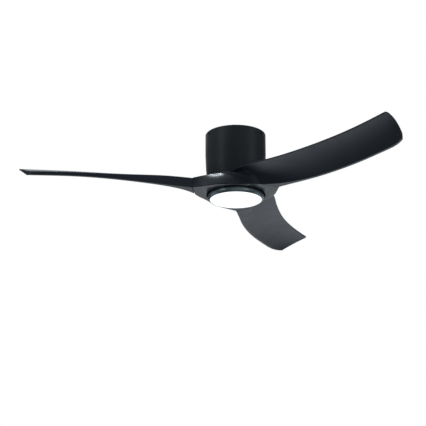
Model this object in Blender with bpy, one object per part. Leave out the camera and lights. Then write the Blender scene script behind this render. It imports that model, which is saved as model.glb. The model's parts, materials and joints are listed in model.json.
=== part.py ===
"""Low-profile three-blade ceiling fan with a round LED lamp, as separate pieces.

Metres, +Z up. The origin is the middle of the ceiling plate's upper face, on the fan's axis, so the
whole fan hangs below z = 0. Each blade and each hub lobe is drawn once, along +X, and turned into place.
Edge A is a blade's leading edge, upper and thin; edge B is its trailing edge, lower and thick.
"""

import math

import bmesh
import bpy
import numpy as np
from mathutils import Matrix, Vector
from mathutils.geometry import tessellate_polygon

# ---------------------------------------------------------------- driving dimensions
GAP = 0.0003                 # clearance between pieces that touch
LOBES = 3                    # blades, hub lobes and most screw circles
FIRST_BLADE = math.radians(196)
FINE, COARSE = 32, 16        # sides of a large and of a small round piece

PLATE_R, PLATE_T, RIM_T, RIM_BOTTOM = 0.0906, 0.0025, 0.0022, -0.014
SLOT_SPACING, SLOT_LENGTH, SLOT_WIDTH = 0.0889, 0.012, 0.0055
PLAIN_HOLE_R = 0.0023        # clearance for an M4 screw
WIRE_HOLE_R, WIRE_HOLE_Y = 0.012, 0.045
HOUSING_R, HOUSING_WALL, HOUSING_BOTTOM, HOUSING_LIP_R = 0.0935, 0.002, -0.150, 0.083
HOUSING_SKIRT = ((HOUSING_R, -0.0660), (0.0925, -0.0920), (0.0916, -0.1120), (0.0907, -0.1220),
                 (0.0893, -0.1315), (0.0872, -0.1430), (0.0850, HOUSING_BOTTOM))
HOUSING_SCREW_Z = -0.009

ARM_X, BRACKET_T, BRACKET_Y, BRIDGE_TOP, FLANGE_X = 0.058, 0.0025, 0.030, -0.066, 0.082
BOLT_X, BOLT_Y, BOLT_HOLE_R = 0.072, 0.020, 0.0028
BOX_X, BOX_Y, BOX_TOP, BOX_BOTTOM, BOX_WALL = 0.0576, 0.024, -0.0143, -0.046, 0.002
BOARD_TOP, BOARD_T = -0.030, 0.0016

SHAFT_R, SHAFT_BORE, SHAFT_TOP, SHAFT_BOTTOM, COLLAR_R = 0.0085, 0.0055, -0.057, -0.1905, 0.012
NUT_R, NUT_H = 0.0140, 0.007
TEETH, STATOR_TOP, STATOR_BOTTOM, STATOR_R = 12, -0.100, -0.122, 0.063
CORE_R, CORE_BORE, TOOTH_W, SHOE_IN = 0.036, 0.0250, 0.007, 0.0585
COIL_IN, COIL_OUT, COIL_TOP, COIL_BOTTOM = 0.0375, 0.0565, -0.0965, -0.1255
MAGNET_R, ROTOR_BORE, ROTOR_R, ROTOR_SCREW_R = 0.0655, 0.0722, 0.0795, 0.0758
ROTOR_TOP, ROTOR_SPLIT, ROTOR_BOTTOM, ROTOR_FACE = -0.080, -0.112, -0.145, -0.1662
ROTOR_FLOOR = 0.004
BEARING_R, BEARING_H, BEARING_BOSS_R, BEARING_LIP_R = 0.0197, 0.010, 0.024, 0.016
BEARING_TOPS = {"upper": -0.0825, "lower": -0.1335}
BALL_R, BALL_PITCH, BALLS = 0.0026, 0.0145, 7

HUB_TOP, HUB_BOTTOM, HUB_SKIN, HUB_WALL = -0.1525, -0.1960, 0.0024, 0.004
HUB_HOLE_R, HUB_RING_R = 0.064, 0.0890
RECESS_R, RECESS_WALL, RECESS_ROOF, ROOF_HOLE_R = 0.0905, 0.0025, -0.1772, 0.040
RIM_LIP = 0.0002             # least height of the hub's top edge over its flank
SEAM_ANGLE, SEAM_X, SEAM_GAP = math.radians(-20.4), 0.1246, 0.0010
CARRIER_T, CARRIER_R, CARRIER_SCREW_R, ARM_END, ARM_Y = 0.005, 0.072, 0.053, 0.1185, (0.028, 0.0725)
TONGUE_T, TONGUE_IN, TONGUE_Y = 0.008, 0.0960, (0.030, 0.072)
TONGUE_SCREW_X, TONGUE_SCREWS = 0.1075, (0.041, 0.061)

LAMP_PLATE_R, LAMP_PLATE_T, LAMP_PLATE_TOP, LAMP_SCREW_R = 0.080, 0.002, -0.1815, 0.072
PAN_R, PAN_T, PAN_BOTTOM, PAN_HOLE_R = 0.0865, 0.0018, -0.1927, 0.016
LED_BOARD_R, LED_RING_R, LEDS = 0.066, 0.050, 12
BEZEL_R, LENS_R, LENS_Z, LENS_T, LENS_FLANGE_R = 0.0870, 0.0794, -0.2115, 0.002, 0.0825
LEAD_R, LEAD_POINTS = 0.0012, 28
BEZEL_FLANK = ((0.0870, -0.2010), (0.0862, -0.2045), (0.0842, -0.2080), (0.0818, -0.2106))

# One blade, seen along +X: points on each edge from the hub to just past the tip.
EDGE_A = ((0.1020, -0.0833, -0.1530), (0.1500, -0.0862, -0.1542), (0.2100, -0.0801, -0.1553),
          (0.3000, -0.0704, -0.1536), (0.4000, -0.0647, -0.1493), (0.5000, -0.0697, -0.1462),
          (0.6000, -0.0843, -0.1436), (0.6612, -0.0960, -0.1420))
EDGE_B = ((0.1468, 0.0366, -0.1960), (0.2000, 0.0410, -0.1967), (0.2700, 0.0484, -0.1969),
          (0.3500, 0.0522, -0.1957), (0.4500, 0.0476, -0.1935), (0.5500, 0.0322, -0.1921),
          (0.6100, 0.0161, -0.1907), (0.6421, -0.0011, -0.1869))
EDGE_A_T, CORNER_ROUND, TOP_BOW = 0.003, 0.0025, 0.003
TIP_BOW, TIP_CORNER_A, TIP_CORNER_B, TIP_CHORD = 0.0085, 0.0093, 0.0089, 0.095
WALL_FAR, WALL_RISE, WALL_REACH = 0.0089, 0.0221, 0.204         # edge B's height far out, more at the root
STRIP_FAR, STRIP_RISE, STRIP_REACH = 0.0093, 0.0500, 0.041      # the same for the width of its flat strip

# One hub lobe: its upper and lower rims, from the previous blade's corner round to this blade's root,
# as (degrees, radius, height) and (degrees, radius).
LOBE_TOP = ((-106, 0.1512, -0.1650), (-98, 0.1262, -0.1588), (-88, 0.1065, -0.1544),
            (-76, 0.0942, -0.1523), (-65, 0.0938, -0.1522), (-52, 0.1030, -0.1524))
LOBE_FOOT = ((-106, 0.1512), (-97, 0.1355), (-86, 0.1245), (-72, 0.1140), (-57, 0.1045),
             (-45, 0.1015), (-30, 0.1070))
FLANK_BOW = 0.12             # how far the flank bulges, as a share of its rims' distance apart


# ---------------------------------------------------------------- shape helpers
def paint(name, colour, roughness, metallic=0.0):
    material = bpy.data.materials.new(name)
    material.use_nodes = True
    material.diffuse_color = (*colour, 1)
    shader = material.node_tree.nodes["Principled BSDF"]
    shader.inputs["Base Color"].default_value = (*colour, 1)
    shader.inputs["Roughness"].default_value = roughness
    shader.inputs["Metallic"].default_value = metallic
    return material


def add_object(name, bm, material):
    """Store a bmesh as a smooth-shaded object with its normals facing out."""
    bmesh.ops.recalc_face_normals(bm, faces=bm.faces)
    mesh = bpy.data.meshes.new(name)
    bm.to_mesh(mesh)
    bm.free()
    mesh.shade_smooth()
    mesh.set_sharp_from_angle(angle=math.radians(35))
    if material:
        mesh.materials.append(material)
    made = bpy.data.objects.new(name, mesh)
    bpy.context.scene.collection.objects.link(made)
    return made


def ring_loops(name, loops, material):
    """Join equal-length loops, each to the next and the last to the first. A loop of one point is a pole."""
    bm = bmesh.new()
    count = max(len(loop) for loop in loops)
    rings = [[bm.verts.new(p) for p in loop] * (count if len(loop) == 1 else 1) for loop in loops]
    for ring, after in zip(rings, rings[1:] + rings[:1]):
        for i in range(count):
            j = (i + 1) % count
            corners = list(dict.fromkeys((ring[i], ring[j], after[j], after[i])))
            if len(corners) > 2:
                bm.faces.new(corners)
    return add_object(name, bm, material)


def turned(name, profile, material, segments=COARSE):
    """Turn a closed (radius, height) outline about Z. Points on the axis become poles."""
    turns = [2 * math.pi * i / segments for i in range(segments)]
    loops = [[(0, 0, z)] if r == 0 else [(r * math.cos(a), r * math.sin(a), z) for a in turns]
             for r, z in profile]
    return ring_loops(name, loops, material)


def slab(name, outlines, top, bottom, material):
    """A flat piece between two heights: the first outline is its edge and the others are holes."""
    bm = bmesh.new()
    flat = [point for outline in outlines for point in outline]
    upper = [bm.verts.new((x, y, top)) for x, y in flat]
    lower = [bm.verts.new((x, y, bottom)) for x, y in flat]
    for a, b, c in tessellate_polygon([[Vector((x, y, 0)) for x, y in outline] for outline in outlines]):
        bm.faces.new((upper[a], upper[b], upper[c]))
        bm.faces.new((lower[c], lower[b], lower[a]))
    start = 0
    for outline in outlines:
        count = len(outline)
        for i in range(count):
            a, b = start + i, start + (i + 1) % count
            bm.faces.new((upper[a], lower[a], lower[b], upper[b]))
        start += count
    return add_object(name, bm, material)


def blocks(name, corners, material=None):
    """Rectangular blocks that don't touch each other, each given by two opposite corners."""
    bm = bmesh.new()
    for low, high in corners:
        low, high = Vector(low), Vector(high)
        place = Matrix.Translation((low + high) / 2) @ Matrix.Diagonal((*(high - low), 1))
        bmesh.ops.create_cube(bm, size=1, matrix=place)
    return add_object(name, bm, material)


def drills(name, spots, radius, top, bottom, sides=12):
    """Upright round cutters that don't touch each other."""
    bm = bmesh.new()
    for x, y in spots:
        place = Matrix.Translation((x, y, (top + bottom) / 2))
        bmesh.ops.create_cone(bm, cap_ends=True, segments=sides, radius1=radius, radius2=radius,
                              depth=top - bottom, matrix=place)
    return add_object(name, bm, None)


def combine(target, other, operation="DIFFERENCE"):
    """Cut or join a helper into the target. The helper stays out of the render."""
    other.hide_render = True
    other.display_type = "WIRE"
    change = target.modifiers.new(other.name, "BOOLEAN")
    change.operation = operation
    change.object = other
    return target


def turn(piece, angle):
    """Turn an object about the fan's axis."""
    piece.matrix_world = Matrix.Rotation(angle, 4, "Z") @ piece.matrix_world
    return piece


def on_circle(radius, count, start=0.0, centre=(0.0, 0.0)):
    turns = [start + 2 * math.pi * i / count for i in range(count)]
    return [(centre[0] + radius * math.cos(a), centre[1] + radius * math.sin(a)) for a in turns]


def spline(points):
    """A natural cubic through the points: a function from the share of its length, 0 to 1, to a point."""
    points = np.array(points, float)
    steps = np.linalg.norm(np.diff(points, axis=0), axis=1)
    knots = np.concatenate([[0], np.cumsum(steps)])
    last = len(points) - 1
    matrix, right = np.eye(last + 1), np.zeros_like(points)
    for i in range(1, last):
        matrix[i, i - 1 : i + 2] = steps[i - 1], 2 * (steps[i - 1] + steps[i]), steps[i]
        right[i] = 6 * ((points[i + 1] - points[i]) / steps[i] - (points[i] - points[i - 1]) / steps[i - 1])
    bends = np.linalg.solve(matrix, right)

    def at(share):
        i = min(max(int(np.searchsorted(knots, share * knots[-1])) - 1, 0), last - 1)
        before, after, step = share * knots[-1] - knots[i], knots[i + 1] - share * knots[-1], steps[i]
        return ((bends[i] * after**3 + bends[i + 1] * before**3) / (6 * step)
                + (points[i] / step - bends[i] * step / 6) * after
                + (points[i + 1] / step - bends[i + 1] * step / 6) * before)

    return at


def in_seam(x, y):
    """From the frame of a blade's root face, X across the face, to the blade's own."""
    cos, sin = math.cos(SEAM_ANGLE), math.sin(SEAM_ANGLE)
    return x * cos - y * sin, x * sin + y * cos


# ---------------------------------------------------------------- fasteners and leads
def screw(name, head_r, head_h, shank_r, length, place, material):
    """A pan-head screw: the head stands above its own z = 0 and the shank runs down from it."""
    outline = [(0, head_h), (0.75 * head_r, head_h), (head_r, 0.5 * head_h), (head_r, 0),
               (shank_r, 0), (shank_r, -length), (0, -length)]
    made = turned(name, outline, material, segments=6)
    made.matrix_world = place
    return made


def upright(x, y, z):
    return Matrix.Translation((x, y, z))


def upward(x, y, z):
    """A screw driven up from below, its head hanging under z."""
    return Matrix.Translation((x, y, z)) @ Matrix.Rotation(math.pi, 4, "X")


def inward(angle, radius, z):
    """A screw driven towards the fan's axis."""
    return Matrix.Rotation(angle, 4, "Z") @ Matrix.Translation((radius, 0, z)) @ Matrix.Rotation(
        math.pi / 2, 4, "Y")


def nut(name, top, height, material):
    return slab(name, [on_circle(NUT_R, 6), on_circle(SHAFT_R + GAP, COARSE)], top, top - height, material)


def lead(name, route, material):
    """A wire along a smooth curve through the route's points."""
    at = spline(route)
    curve = bpy.data.curves.new(name, "CURVE")
    curve.dimensions = "3D"
    curve.bevel_depth = LEAD_R
    curve.bevel_resolution = 2
    curve.use_fill_caps = True
    line = curve.splines.new("POLY")
    line.points.add(LEAD_POINTS - 1)
    for i, point in enumerate(line.points):
        point.co = (*at(i / (LEAD_POINTS - 1)), 1)
    curve.materials.append(material)
    made = bpy.data.objects.new(name, curve)
    bpy.context.scene.collection.objects.link(made)
    return made


# ---------------------------------------------------------------- fixed pieces under the ceiling
def make_ceiling_plate(steel):
    """A shallow pan: a flat disc with slots, bolt holes and a wire hole, and a rim for the housing."""
    half, wide = SLOT_LENGTH / 2, SLOT_WIDTH / 2
    slot = [(half, -wide), (half, wide), (-half, wide), (-half, -wide)]
    holes = [[(x + side * SLOT_SPACING / 2, y) for x, y in slot] for side in (-1, 1)]
    holes.append(on_circle(WIRE_HOLE_R, COARSE, 0.1, (0, WIRE_HOLE_Y)))
    holes += [on_circle(BOLT_HOLE_R, 8, 0.1, spot) for spot in BOLTS]
    plate = slab("ceiling_plate", [on_circle(PLATE_R, FINE)] + holes, 0, RIM_BOTTOM, steel)
    combine(plate, drills("cut_plate_inside", [(0, 0)], PLATE_R - RIM_T, -PLATE_T, RIM_BOTTOM - 0.01, FINE))
    combine(plate, radial_holes("cut_rim_screws"))


def radial_holes(name):
    """Cutters for the housing's screws, through the plate's rim and the housing."""
    bm = bmesh.new()
    for angle in HOUSING_SCREW_ANGLES:
        place = inward(angle, HOUSING_R, HOUSING_SCREW_Z)
        bmesh.ops.create_cone(bm, cap_ends=True, segments=12, radius1=0.0022, radius2=0.0022,
                              depth=0.014, matrix=place)
    return add_object(name, bm, None)


def make_bracket(steel):
    """A strip bent into a hat: two flanges under the plate, two arms and a bridge for the shaft."""
    outer, flange = ARM_X + BRACKET_T, -PLATE_T - GAP
    half = [(FLANGE_X, flange), (FLANGE_X, flange - BRACKET_T), (outer, flange - BRACKET_T),
            (outer, BRIDGE_TOP - BRACKET_T)]
    outline = half + [(-x, z) for x, z in reversed(half)]
    outline += [(-ARM_X, flange), (-ARM_X, BRIDGE_TOP), (ARM_X, BRIDGE_TOP), (ARM_X, flange)]
    bracket = slab("motor_bracket", [outline], BRACKET_Y, -BRACKET_Y, steel)
    bracket.matrix_world = Matrix.Rotation(math.pi / 2, 4, "X")
    combine(bracket, drills("cut_shaft_hole", [(0, 0)], SHAFT_R + GAP, -0.06, -0.075, COARSE))
    combine(bracket, drills("cut_flange_bolts", BOLTS, BOLT_HOLE_R, 0.01, -0.01))
    for i, (x, y) in enumerate(BOLTS, 1):
        under = flange - BRACKET_T - GAP
        screw(f"bracket_bolt_{i}", 0.0048, 0.0032, 0.0025, 0.0072, upward(x, y, under), steel)


def make_housing(black, steel):
    inner, floor = HOUSING_R - HOUSING_WALL, HOUSING_BOTTOM + HOUSING_WALL
    top = -GAP
    outside = [(HOUSING_R, top), *HOUSING_SKIRT]
    inside = [(HOUSING_LIP_R, HOUSING_BOTTOM), (HOUSING_LIP_R, floor)]
    inside += [(r - HOUSING_WALL, z) for r, z in HOUSING_SKIRT[-2::-1]] + [(inner, top)]
    combine(turned("housing", outside + inside, black, FINE), radial_holes("cut_housing_screws"))
    for i, angle in enumerate(HOUSING_SCREW_ANGLES, 1):
        screw(f"housing_screw_{i}", 0.0036, 0.0018, 0.0018, 0.0062,
              inward(angle, HOUSING_R + GAP, HOUSING_SCREW_Z), steel)


def make_controller(casing, green, cream):
    """The speed controller: a box between the bracket's arms, its lid and its circuit board."""
    box = blocks("controller_box", [((-BOX_X, -BOX_Y, BOX_BOTTOM), (BOX_X, BOX_Y, BOX_TOP))], casing)
    inside = BOX_X - BOX_WALL, BOX_Y - BOX_WALL, BOX_BOTTOM + BOX_WALL
    combine(box, blocks("cut_box_inside", [((-inside[0], -inside[1], inside[2]), (*inside[:2], 0))]))
    combine(box, drills("cut_box_leads", [(0, 0)], 0.006, -0.04, -0.05))
    board_x, board_y, board_bottom = 0.050, 0.018, BOARD_TOP - BOARD_T
    posts = [((x - 0.003, y - 0.003, inside[2] - 0.001), (x + 0.003, y + 0.003, board_bottom - GAP))
             for x in (-0.045, 0.045) for y in (-0.013, 0.013)]
    combine(box, blocks("join_box_posts", posts), "UNION")
    lid = BOX_TOP + GAP
    blocks("controller_lid", [((-BOX_X, -BOX_Y, lid), (BOX_X, BOX_Y, lid + 0.002))], casing)
    sheet = (-board_x, -board_y, board_bottom), (board_x, board_y, BOARD_TOP)
    board = blocks("controller_board", [sheet], green)
    parts = [(-0.032, 0.0, 0.016, 0.014, 0.013), (-0.010, 0.006, 0.012, 0.012, 0.008),
             (0.010, -0.004, 0.014, 0.010, 0.006), (0.033, 0.002, 0.018, 0.022, 0.011)]
    fitted = [((x - w / 2, y - d / 2, BOARD_TOP - 0.0005), (x + w / 2, y + d / 2, BOARD_TOP + h))
              for x, y, w, d, h in parts]
    combine(board, blocks("join_board_parts", fitted), "UNION")
    outer = ARM_X + BRACKET_T + GAP
    block = blocks("terminal_block", [((-outer - 0.013, -0.014, -0.034), (-outer, 0.014, -0.020))], cream)
    entries = [((-outer - 0.010, y - 0.0025, -0.040), (-outer - 0.005, y + 0.0025, -0.024))
               for y in (-0.009, 0, 0.009)]
    combine(block, blocks("cut_terminals", entries))


# ---------------------------------------------------------------- motor
def make_shaft(steel):
    collar_top = LAMP_PLATE_TOP + 0.004
    outline = [(SHAFT_BORE, SHAFT_TOP), (SHAFT_R, SHAFT_TOP), (SHAFT_R, collar_top), (COLLAR_R, collar_top),
               (COLLAR_R, LAMP_PLATE_TOP + GAP), (SHAFT_R, LAMP_PLATE_TOP + GAP), (SHAFT_R, SHAFT_BOTTOM),
               (SHAFT_BORE, SHAFT_BOTTOM)]
    shaft = turned("motor_shaft", outline, steel)
    combine(shaft, blocks("cut_shaft_slot", [((-0.0100, -0.0020, -0.0985), (-0.0030, 0.0020, -0.0922))]))
    nut("shaft_nut_upper", BRIDGE_TOP + GAP + NUT_H, NUT_H, steel)
    nut("shaft_nut_lower", BRIDGE_TOP - BRACKET_T - GAP, NUT_H, steel)


def make_stator(steel, aluminium, copper):
    turned("stator_carrier", [(SHAFT_R + GAP, -0.102), (CORE_BORE - GAP, -0.102), (CORE_BORE - GAP, -0.120),
                              (SHAFT_R + GAP, -0.120)], aluminium)
    outline, half = [], TOOTH_W / 2
    for i in range(TEETH):
        axis = 2 * math.pi * i / TEETH
        reach = math.radians(360 / TEETH) * 0.38
        tooth = [(math.sqrt(CORE_R**2 - half**2), -half), (SHOE_IN, -half),
                 (SHOE_IN * math.cos(reach), -SHOE_IN * math.sin(reach)),
                 (STATOR_R * math.cos(reach), -STATOR_R * math.sin(reach)), (STATOR_R, 0)]
        tooth += [(x, -y) for x, y in reversed(tooth[:4])]
        outline += [(x * math.cos(axis) - y * math.sin(axis), x * math.sin(axis) + y * math.cos(axis))
                    for x, y in tooth]
    slab("stator_core", [outline, on_circle(CORE_BORE, COARSE)], STATOR_TOP, STATOR_BOTTOM, steel)
    winding = turned("stator_winding", [(COIL_IN, COIL_TOP), (COIL_OUT, COIL_TOP), (COIL_OUT, COIL_BOTTOM),
                                        (COIL_IN, COIL_BOTTOM)], copper, FINE)
    bm = bmesh.new()
    low = Vector((COIL_IN - 0.003, -half - GAP, STATOR_BOTTOM - GAP))
    high = Vector((COIL_OUT + 0.003, half + GAP, STATOR_TOP + GAP))
    shape = Matrix.Translation((low + high) / 2) @ Matrix.Diagonal((*(high - low), 1))
    for i in range(TEETH):
        bmesh.ops.create_cube(bm, size=1, matrix=Matrix.Rotation(2 * math.pi * i / TEETH, 4, "Z") @ shape)
    combine(winding, add_object("cut_tooth_windows", bm, None))


def make_bearing(place, top, steel):
    bottom, middle = top - BEARING_H, top - BEARING_H / 2
    turned(f"{place}_bearing_inner_race", [(SHAFT_R + GAP, top), (0.0113, top), (0.0113, bottom),
                                           (SHAFT_R + GAP, bottom)], steel)
    turned(f"{place}_bearing_outer_race", [(0.0177, top), (BEARING_R, top), (BEARING_R, bottom),
                                           (0.0177, bottom)], steel)
    half_w, half_h = 0.0007, 0.0012
    cage = turned(f"{place}_bearing_balls",
                  [(BALL_PITCH - half_w, middle + half_h), (BALL_PITCH + half_w, middle + half_h),
                   (BALL_PITCH + half_w, middle - half_h), (BALL_PITCH - half_w, middle - half_h)], steel)
    bm = bmesh.new()
    for x, y in on_circle(BALL_PITCH, BALLS, 0.1):
        bmesh.ops.create_uvsphere(bm, u_segments=6, v_segments=4, radius=BALL_R,
                                  matrix=Matrix.Translation((x, y, middle)))
    combine(cage, add_object(f"join_{place}_balls", bm, None), "UNION")


def make_rotor(aluminium, magnet, steel):
    """The motor's turning case: two cast covers screwed together round the magnets."""
    seat, boss, lip = BEARING_R + GAP, BEARING_BOSS_R, BEARING_LIP_R
    bore_top, bore_bottom = BEARING_TOPS["upper"] + GAP, BEARING_TOPS["lower"] - BEARING_H - GAP
    floor = ROTOR_TOP - ROTOR_FLOOR
    split = ROTOR_SPLIT + GAP / 2
    boss_end = BEARING_TOPS["upper"] - BEARING_H
    top = [(lip, ROTOR_TOP), (ROTOR_R, ROTOR_TOP), (ROTOR_R, split), (ROTOR_BORE, split),
           (ROTOR_BORE, floor), (boss, floor), (boss, boss_end), (seat, boss_end), (seat, bore_top),
           (lip, bore_top)]
    cover = turned("rotor_cover_top", top, aluminium, FINE)
    floor, split = ROTOR_BOTTOM + ROTOR_FLOOR, ROTOR_SPLIT - GAP / 2
    under = ROTOR_BOTTOM - 0.0025
    bottom = [(ROTOR_BORE, split), (ROTOR_R, split), (ROTOR_R, ROTOR_BOTTOM), (0.060, ROTOR_BOTTOM),
              (0.060, ROTOR_FACE), (0.046, ROTOR_FACE), (0.046, under), (lip, under), (lip, bore_bottom),
              (seat, bore_bottom), (seat, BEARING_TOPS["lower"] + GAP), (boss, BEARING_TOPS["lower"] + GAP),
              (boss, floor), (ROTOR_BORE, floor)]
    base = turned("rotor_cover_bottom", bottom, aluminium, FINE)
    spots = on_circle(ROTOR_SCREW_R, LOBES, FIRST_BLADE)
    for i, spot in enumerate(spots, 1):
        screw(f"rotor_screw_{i}", 0.0028, 0.0020, 0.0013, 0.050, upright(*spot, ROTOR_TOP + GAP), steel)
    holes = dict(radius=0.0016, top=ROTOR_TOP + 0.001, bottom=ROTOR_TOP - 0.0505, sides=8)
    combine(cover, drills("cut_cover_screws", spots, **holes))
    combine(base, drills("cut_base_screws", spots, **holes))
    combine(base, drills("cut_base_carrier", CARRIER_SPOTS, PLAIN_HOLE_R, -0.1555, ROTOR_FACE - 0.001, 8))
    turned("magnet_ring", [(MAGNET_R, -0.097), (ROTOR_BORE - GAP, -0.097), (ROTOR_BORE - GAP, -0.127),
                           (MAGNET_R, -0.127)], magnet, FINE)


def make_carrier(aluminium, steel):
    """The cast spider that joins the blades to the rotor."""
    top = ROTOR_FACE - GAP
    side = math.sqrt(CARRIER_R**2 - ARM_Y[0] ** 2)
    arm = [(side, ARM_Y[0]), (ARM_END, ARM_Y[0]), (ARM_END, ARM_Y[1]), (TONGUE_IN, ARM_Y[1])]
    arm += [(CARRIER_R * math.cos(a), CARRIER_R * math.sin(a)) for a in np.radians([75, 90, 105, 120, 135])]
    outline = []
    for lobe in BLADE_ANGLES:
        for x, y in (in_seam(*point) for point in arm):
            outline.append((x * math.cos(lobe) - y * math.sin(lobe), x * math.sin(lobe) + y * math.cos(lobe)))
    holes = [on_circle(0.022, COARSE)]
    holes += [on_circle(PLAIN_HOLE_R, 8, 0.2, spot) for spot in CARRIER_SPOTS + BLADE_SCREW_SPOTS]
    slab("blade_carrier", [outline] + holes, top, top - CARRIER_T, aluminium)
    for i, (x, y) in enumerate(CARRIER_SPOTS, 1):
        under = top - CARRIER_T - GAP
        screw(f"carrier_screw_{i}", 0.0040, 0.0028, 0.0020, 0.013, upward(x, y, under), steel)
    for i, (x, y) in enumerate(BLADE_SCREW_SPOTS, 1):
        under = top - CARRIER_T - 2 * GAP - TONGUE_T
        screw(f"blade_screw_{i}", 0.0040, 0.0028, 0.0020, 0.0125, upward(x, y, under), steel)


# ---------------------------------------------------------------- blades and hub
def wall_height(distance):
    """Height of a blade's thick edge, that far out from the root."""
    return WALL_FAR + WALL_RISE / (1 + (distance / WALL_REACH) ** 3)


def strip_share(distance, chord):
    """Share of the chord where the hollow underside ends and the flat strip along edge B begins."""
    return 1 - (STRIP_FAR + STRIP_RISE * math.exp(-distance / STRIP_REACH)) / chord


def under_drop(q, distance):
    """How far down the hollow underside has come at the share q of its width, from 0 to 1."""
    lead_slope = 0.55 - 0.30 * math.exp(-distance / 0.10)
    return lead_slope * q + (1 - lead_slope) * q * q


def rounded(distance, radius):
    """How far a quarter-round of this radius stands back, that far from its corner."""
    left = min(max(radius - distance, 0), radius)
    return radius - math.sqrt(radius**2 - left**2)


def blade_point(share, along, upper):
    """A point of the blade's skin: share runs from edge A to edge B, along from the root to the tip."""
    a, b = Vector(EDGE_A_AT(along)), Vector(EDGE_B_AT(along))
    distance, chord = along * BLADE_LENGTH, (b - a).length
    strip = strip_share(distance, chord)
    place = a.lerp(b, share)
    if upper:
        high = (a.z + EDGE_A_T) * (1 - share) + (b.z + wall_height(distance)) * share
        place.z = high + TOP_BOW * 4 * share * (1 - share) - rounded((1 - share) * chord, CORNER_ROUND)
    else:
        place.z = a.z + (b.z - a.z) * under_drop(min(share / strip, 1), distance)
    return place


def blade_columns(along, inner, outer):
    """Shares of the chord for one section: some over the hollow, some over the strip."""
    a, b = Vector(EDGE_A_AT(along)), Vector(EDGE_B_AT(along))
    strip = strip_share(along * BLADE_LENGTH, (b - a).length)
    return [strip * q for q in inner] + [strip + (1 - strip) * q for q in outer]


def tip_cut(share):
    """How far short of the curves' ends the blade stops: a bowed end line with rounded corners."""
    bow = TIP_BOW * (2 * share - 1) ** 2
    return bow + rounded(share * TIP_CHORD, TIP_CORNER_A) + rounded((1 - share) * TIP_CHORD, TIP_CORNER_B)


def make_blade(name, angle, plastic):
    inner = (0, 0.04, 0.13, 0.30, 0.50, 0.70, 0.86, 1)
    outer = (0.5, 0.88, 1)
    stations = [0, 0.03, 0.08, 0.15, 0.24, 0.34, 0.45, 0.57, 0.69, 0.80, 0.90, 1]
    bm = bmesh.new()
    rows = []
    for station in stations:
        row = {True: [], False: []}
        for upper in row:
            for share in blade_columns(station, inner, outer):
                point = blade_point(share, station * (1 - tip_cut(share) / BLADE_LENGTH), upper)
                if station == 0:
                    point += Vector((*in_seam(SEAM_GAP, 0), 0))
                row[upper].append(bm.verts.new(point))
        rows.append(row[False] + row[True][::-1])
    count = len(rows[0])
    for row, after in zip(rows, rows[1:]):
        for i in range(count):
            bm.faces.new((row[i], row[(i + 1) % count], after[(i + 1) % count], after[i]))
    for row in (rows[0], rows[-1]):
        for i in range(count // 2 - 1):
            bm.faces.new((row[i], row[i + 1], row[count - 2 - i], row[count - 1 - i]))
    blade = add_object(name, bm, plastic)
    top = ROTOR_FACE - CARRIER_T - 2 * GAP
    tongue = blocks(f"join_{name}_tongue", [((TONGUE_IN, TONGUE_Y[0], top - TONGUE_T),
                                             (SEAM_X + 0.010, TONGUE_Y[1], top))])
    turn(tongue, SEAM_ANGLE)
    combine(blade, tongue, "UNION")
    spots = [in_seam(TONGUE_SCREW_X, y) for y in TONGUE_SCREWS]
    holes = drills(f"cut_{name}_screws", spots, PLAIN_HOLE_R, top + 0.002, top - TONGUE_T - 0.002, 8)
    combine(blade, holes)
    for piece in (blade, tongue, holes):
        turn(piece, angle)


def lobe_row(q, flank_count, seam_count):
    """One loop's points over one lobe: along the flank at the share q from upper to lower rim, then
    along the root face of the blade."""
    strip = strip_share(0, (Vector(EDGE_A[0]) - Vector(EDGE_B[0])).length)
    a, corner = Vector(EDGE_A[0]), Vector(EDGE_B[0])
    foot = a.lerp(corner, strip)
    foot.z = HUB_BOTTOM
    ends = [(math.degrees(math.atan2(p.y, p.x)), math.hypot(p.x, p.y)) for p in (a, foot)]
    upper = spline([(t / 400, r, z) for t, r, z in LOBE_TOP] + [(ends[0][0] / 400, ends[0][1], a.z)])
    lower = spline([(t / 400, r) for t, r in LOBE_FOOT] + [(ends[1][0] / 400, ends[1][1])])
    row = []
    for i in range(flank_count + 1):
        along = i / flank_count
        (t, r, z), (t2, r2) = upper(along), lower(along)
        high = Vector((r * math.cos(math.radians(t * 400)), r * math.sin(math.radians(t * 400)), z))
        low = Vector((r2 * math.cos(math.radians(t2 * 400)), r2 * math.sin(math.radians(t2 * 400)), 0))
        point = high.lerp(low, q + FLANK_BOW * math.sin(math.pi * q) * math.sin(math.pi * along) ** 2)
        point.z = high.z + (HUB_BOTTOM - high.z) * (q + (under_drop(q, 0) - q) * along)
        row.append(point)
    last = row[-1]
    shoulder = corner.z + wall_height(0)
    drop = (last.z - a.z) / (HUB_BOTTOM - a.z)
    for i in range(1, seam_count + 1):
        point = last.lerp(corner, i / (seam_count + 1))
        point.z = last.z + (shoulder + (HUB_BOTTOM - shoulder) * drop - last.z) * i / (seam_count + 1)
        row.append(point)
    inset = Vector((*in_seam(-SEAM_GAP, 0), 0))
    for i in range(flank_count, len(row)):
        row[i] = row[i] + inset
    return row


def lobed(row):
    """The whole loop: one lobe's points turned to each blade."""
    return [Matrix.Rotation(angle, 3, "Z") @ point for angle in BLADE_ANGLES for point in row]


def radius_at(row, angle):
    """Radius of one lobe's loop at an angle in degrees."""
    line = row + [Matrix.Rotation(2 * math.pi / LOBES, 3, "Z") @ row[0]]
    turns = [math.degrees(math.atan2(p.y, p.x)) for p in line]
    return float(np.interp(angle, turns, [math.hypot(p.x, p.y) for p in line]))


def on_radius(row, radius, z):
    """A loop on a circle, at the angles of another loop's points."""
    return [Vector((radius * p.x / p.xy.length, radius * p.y / p.xy.length, z)) for p in row]


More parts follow.
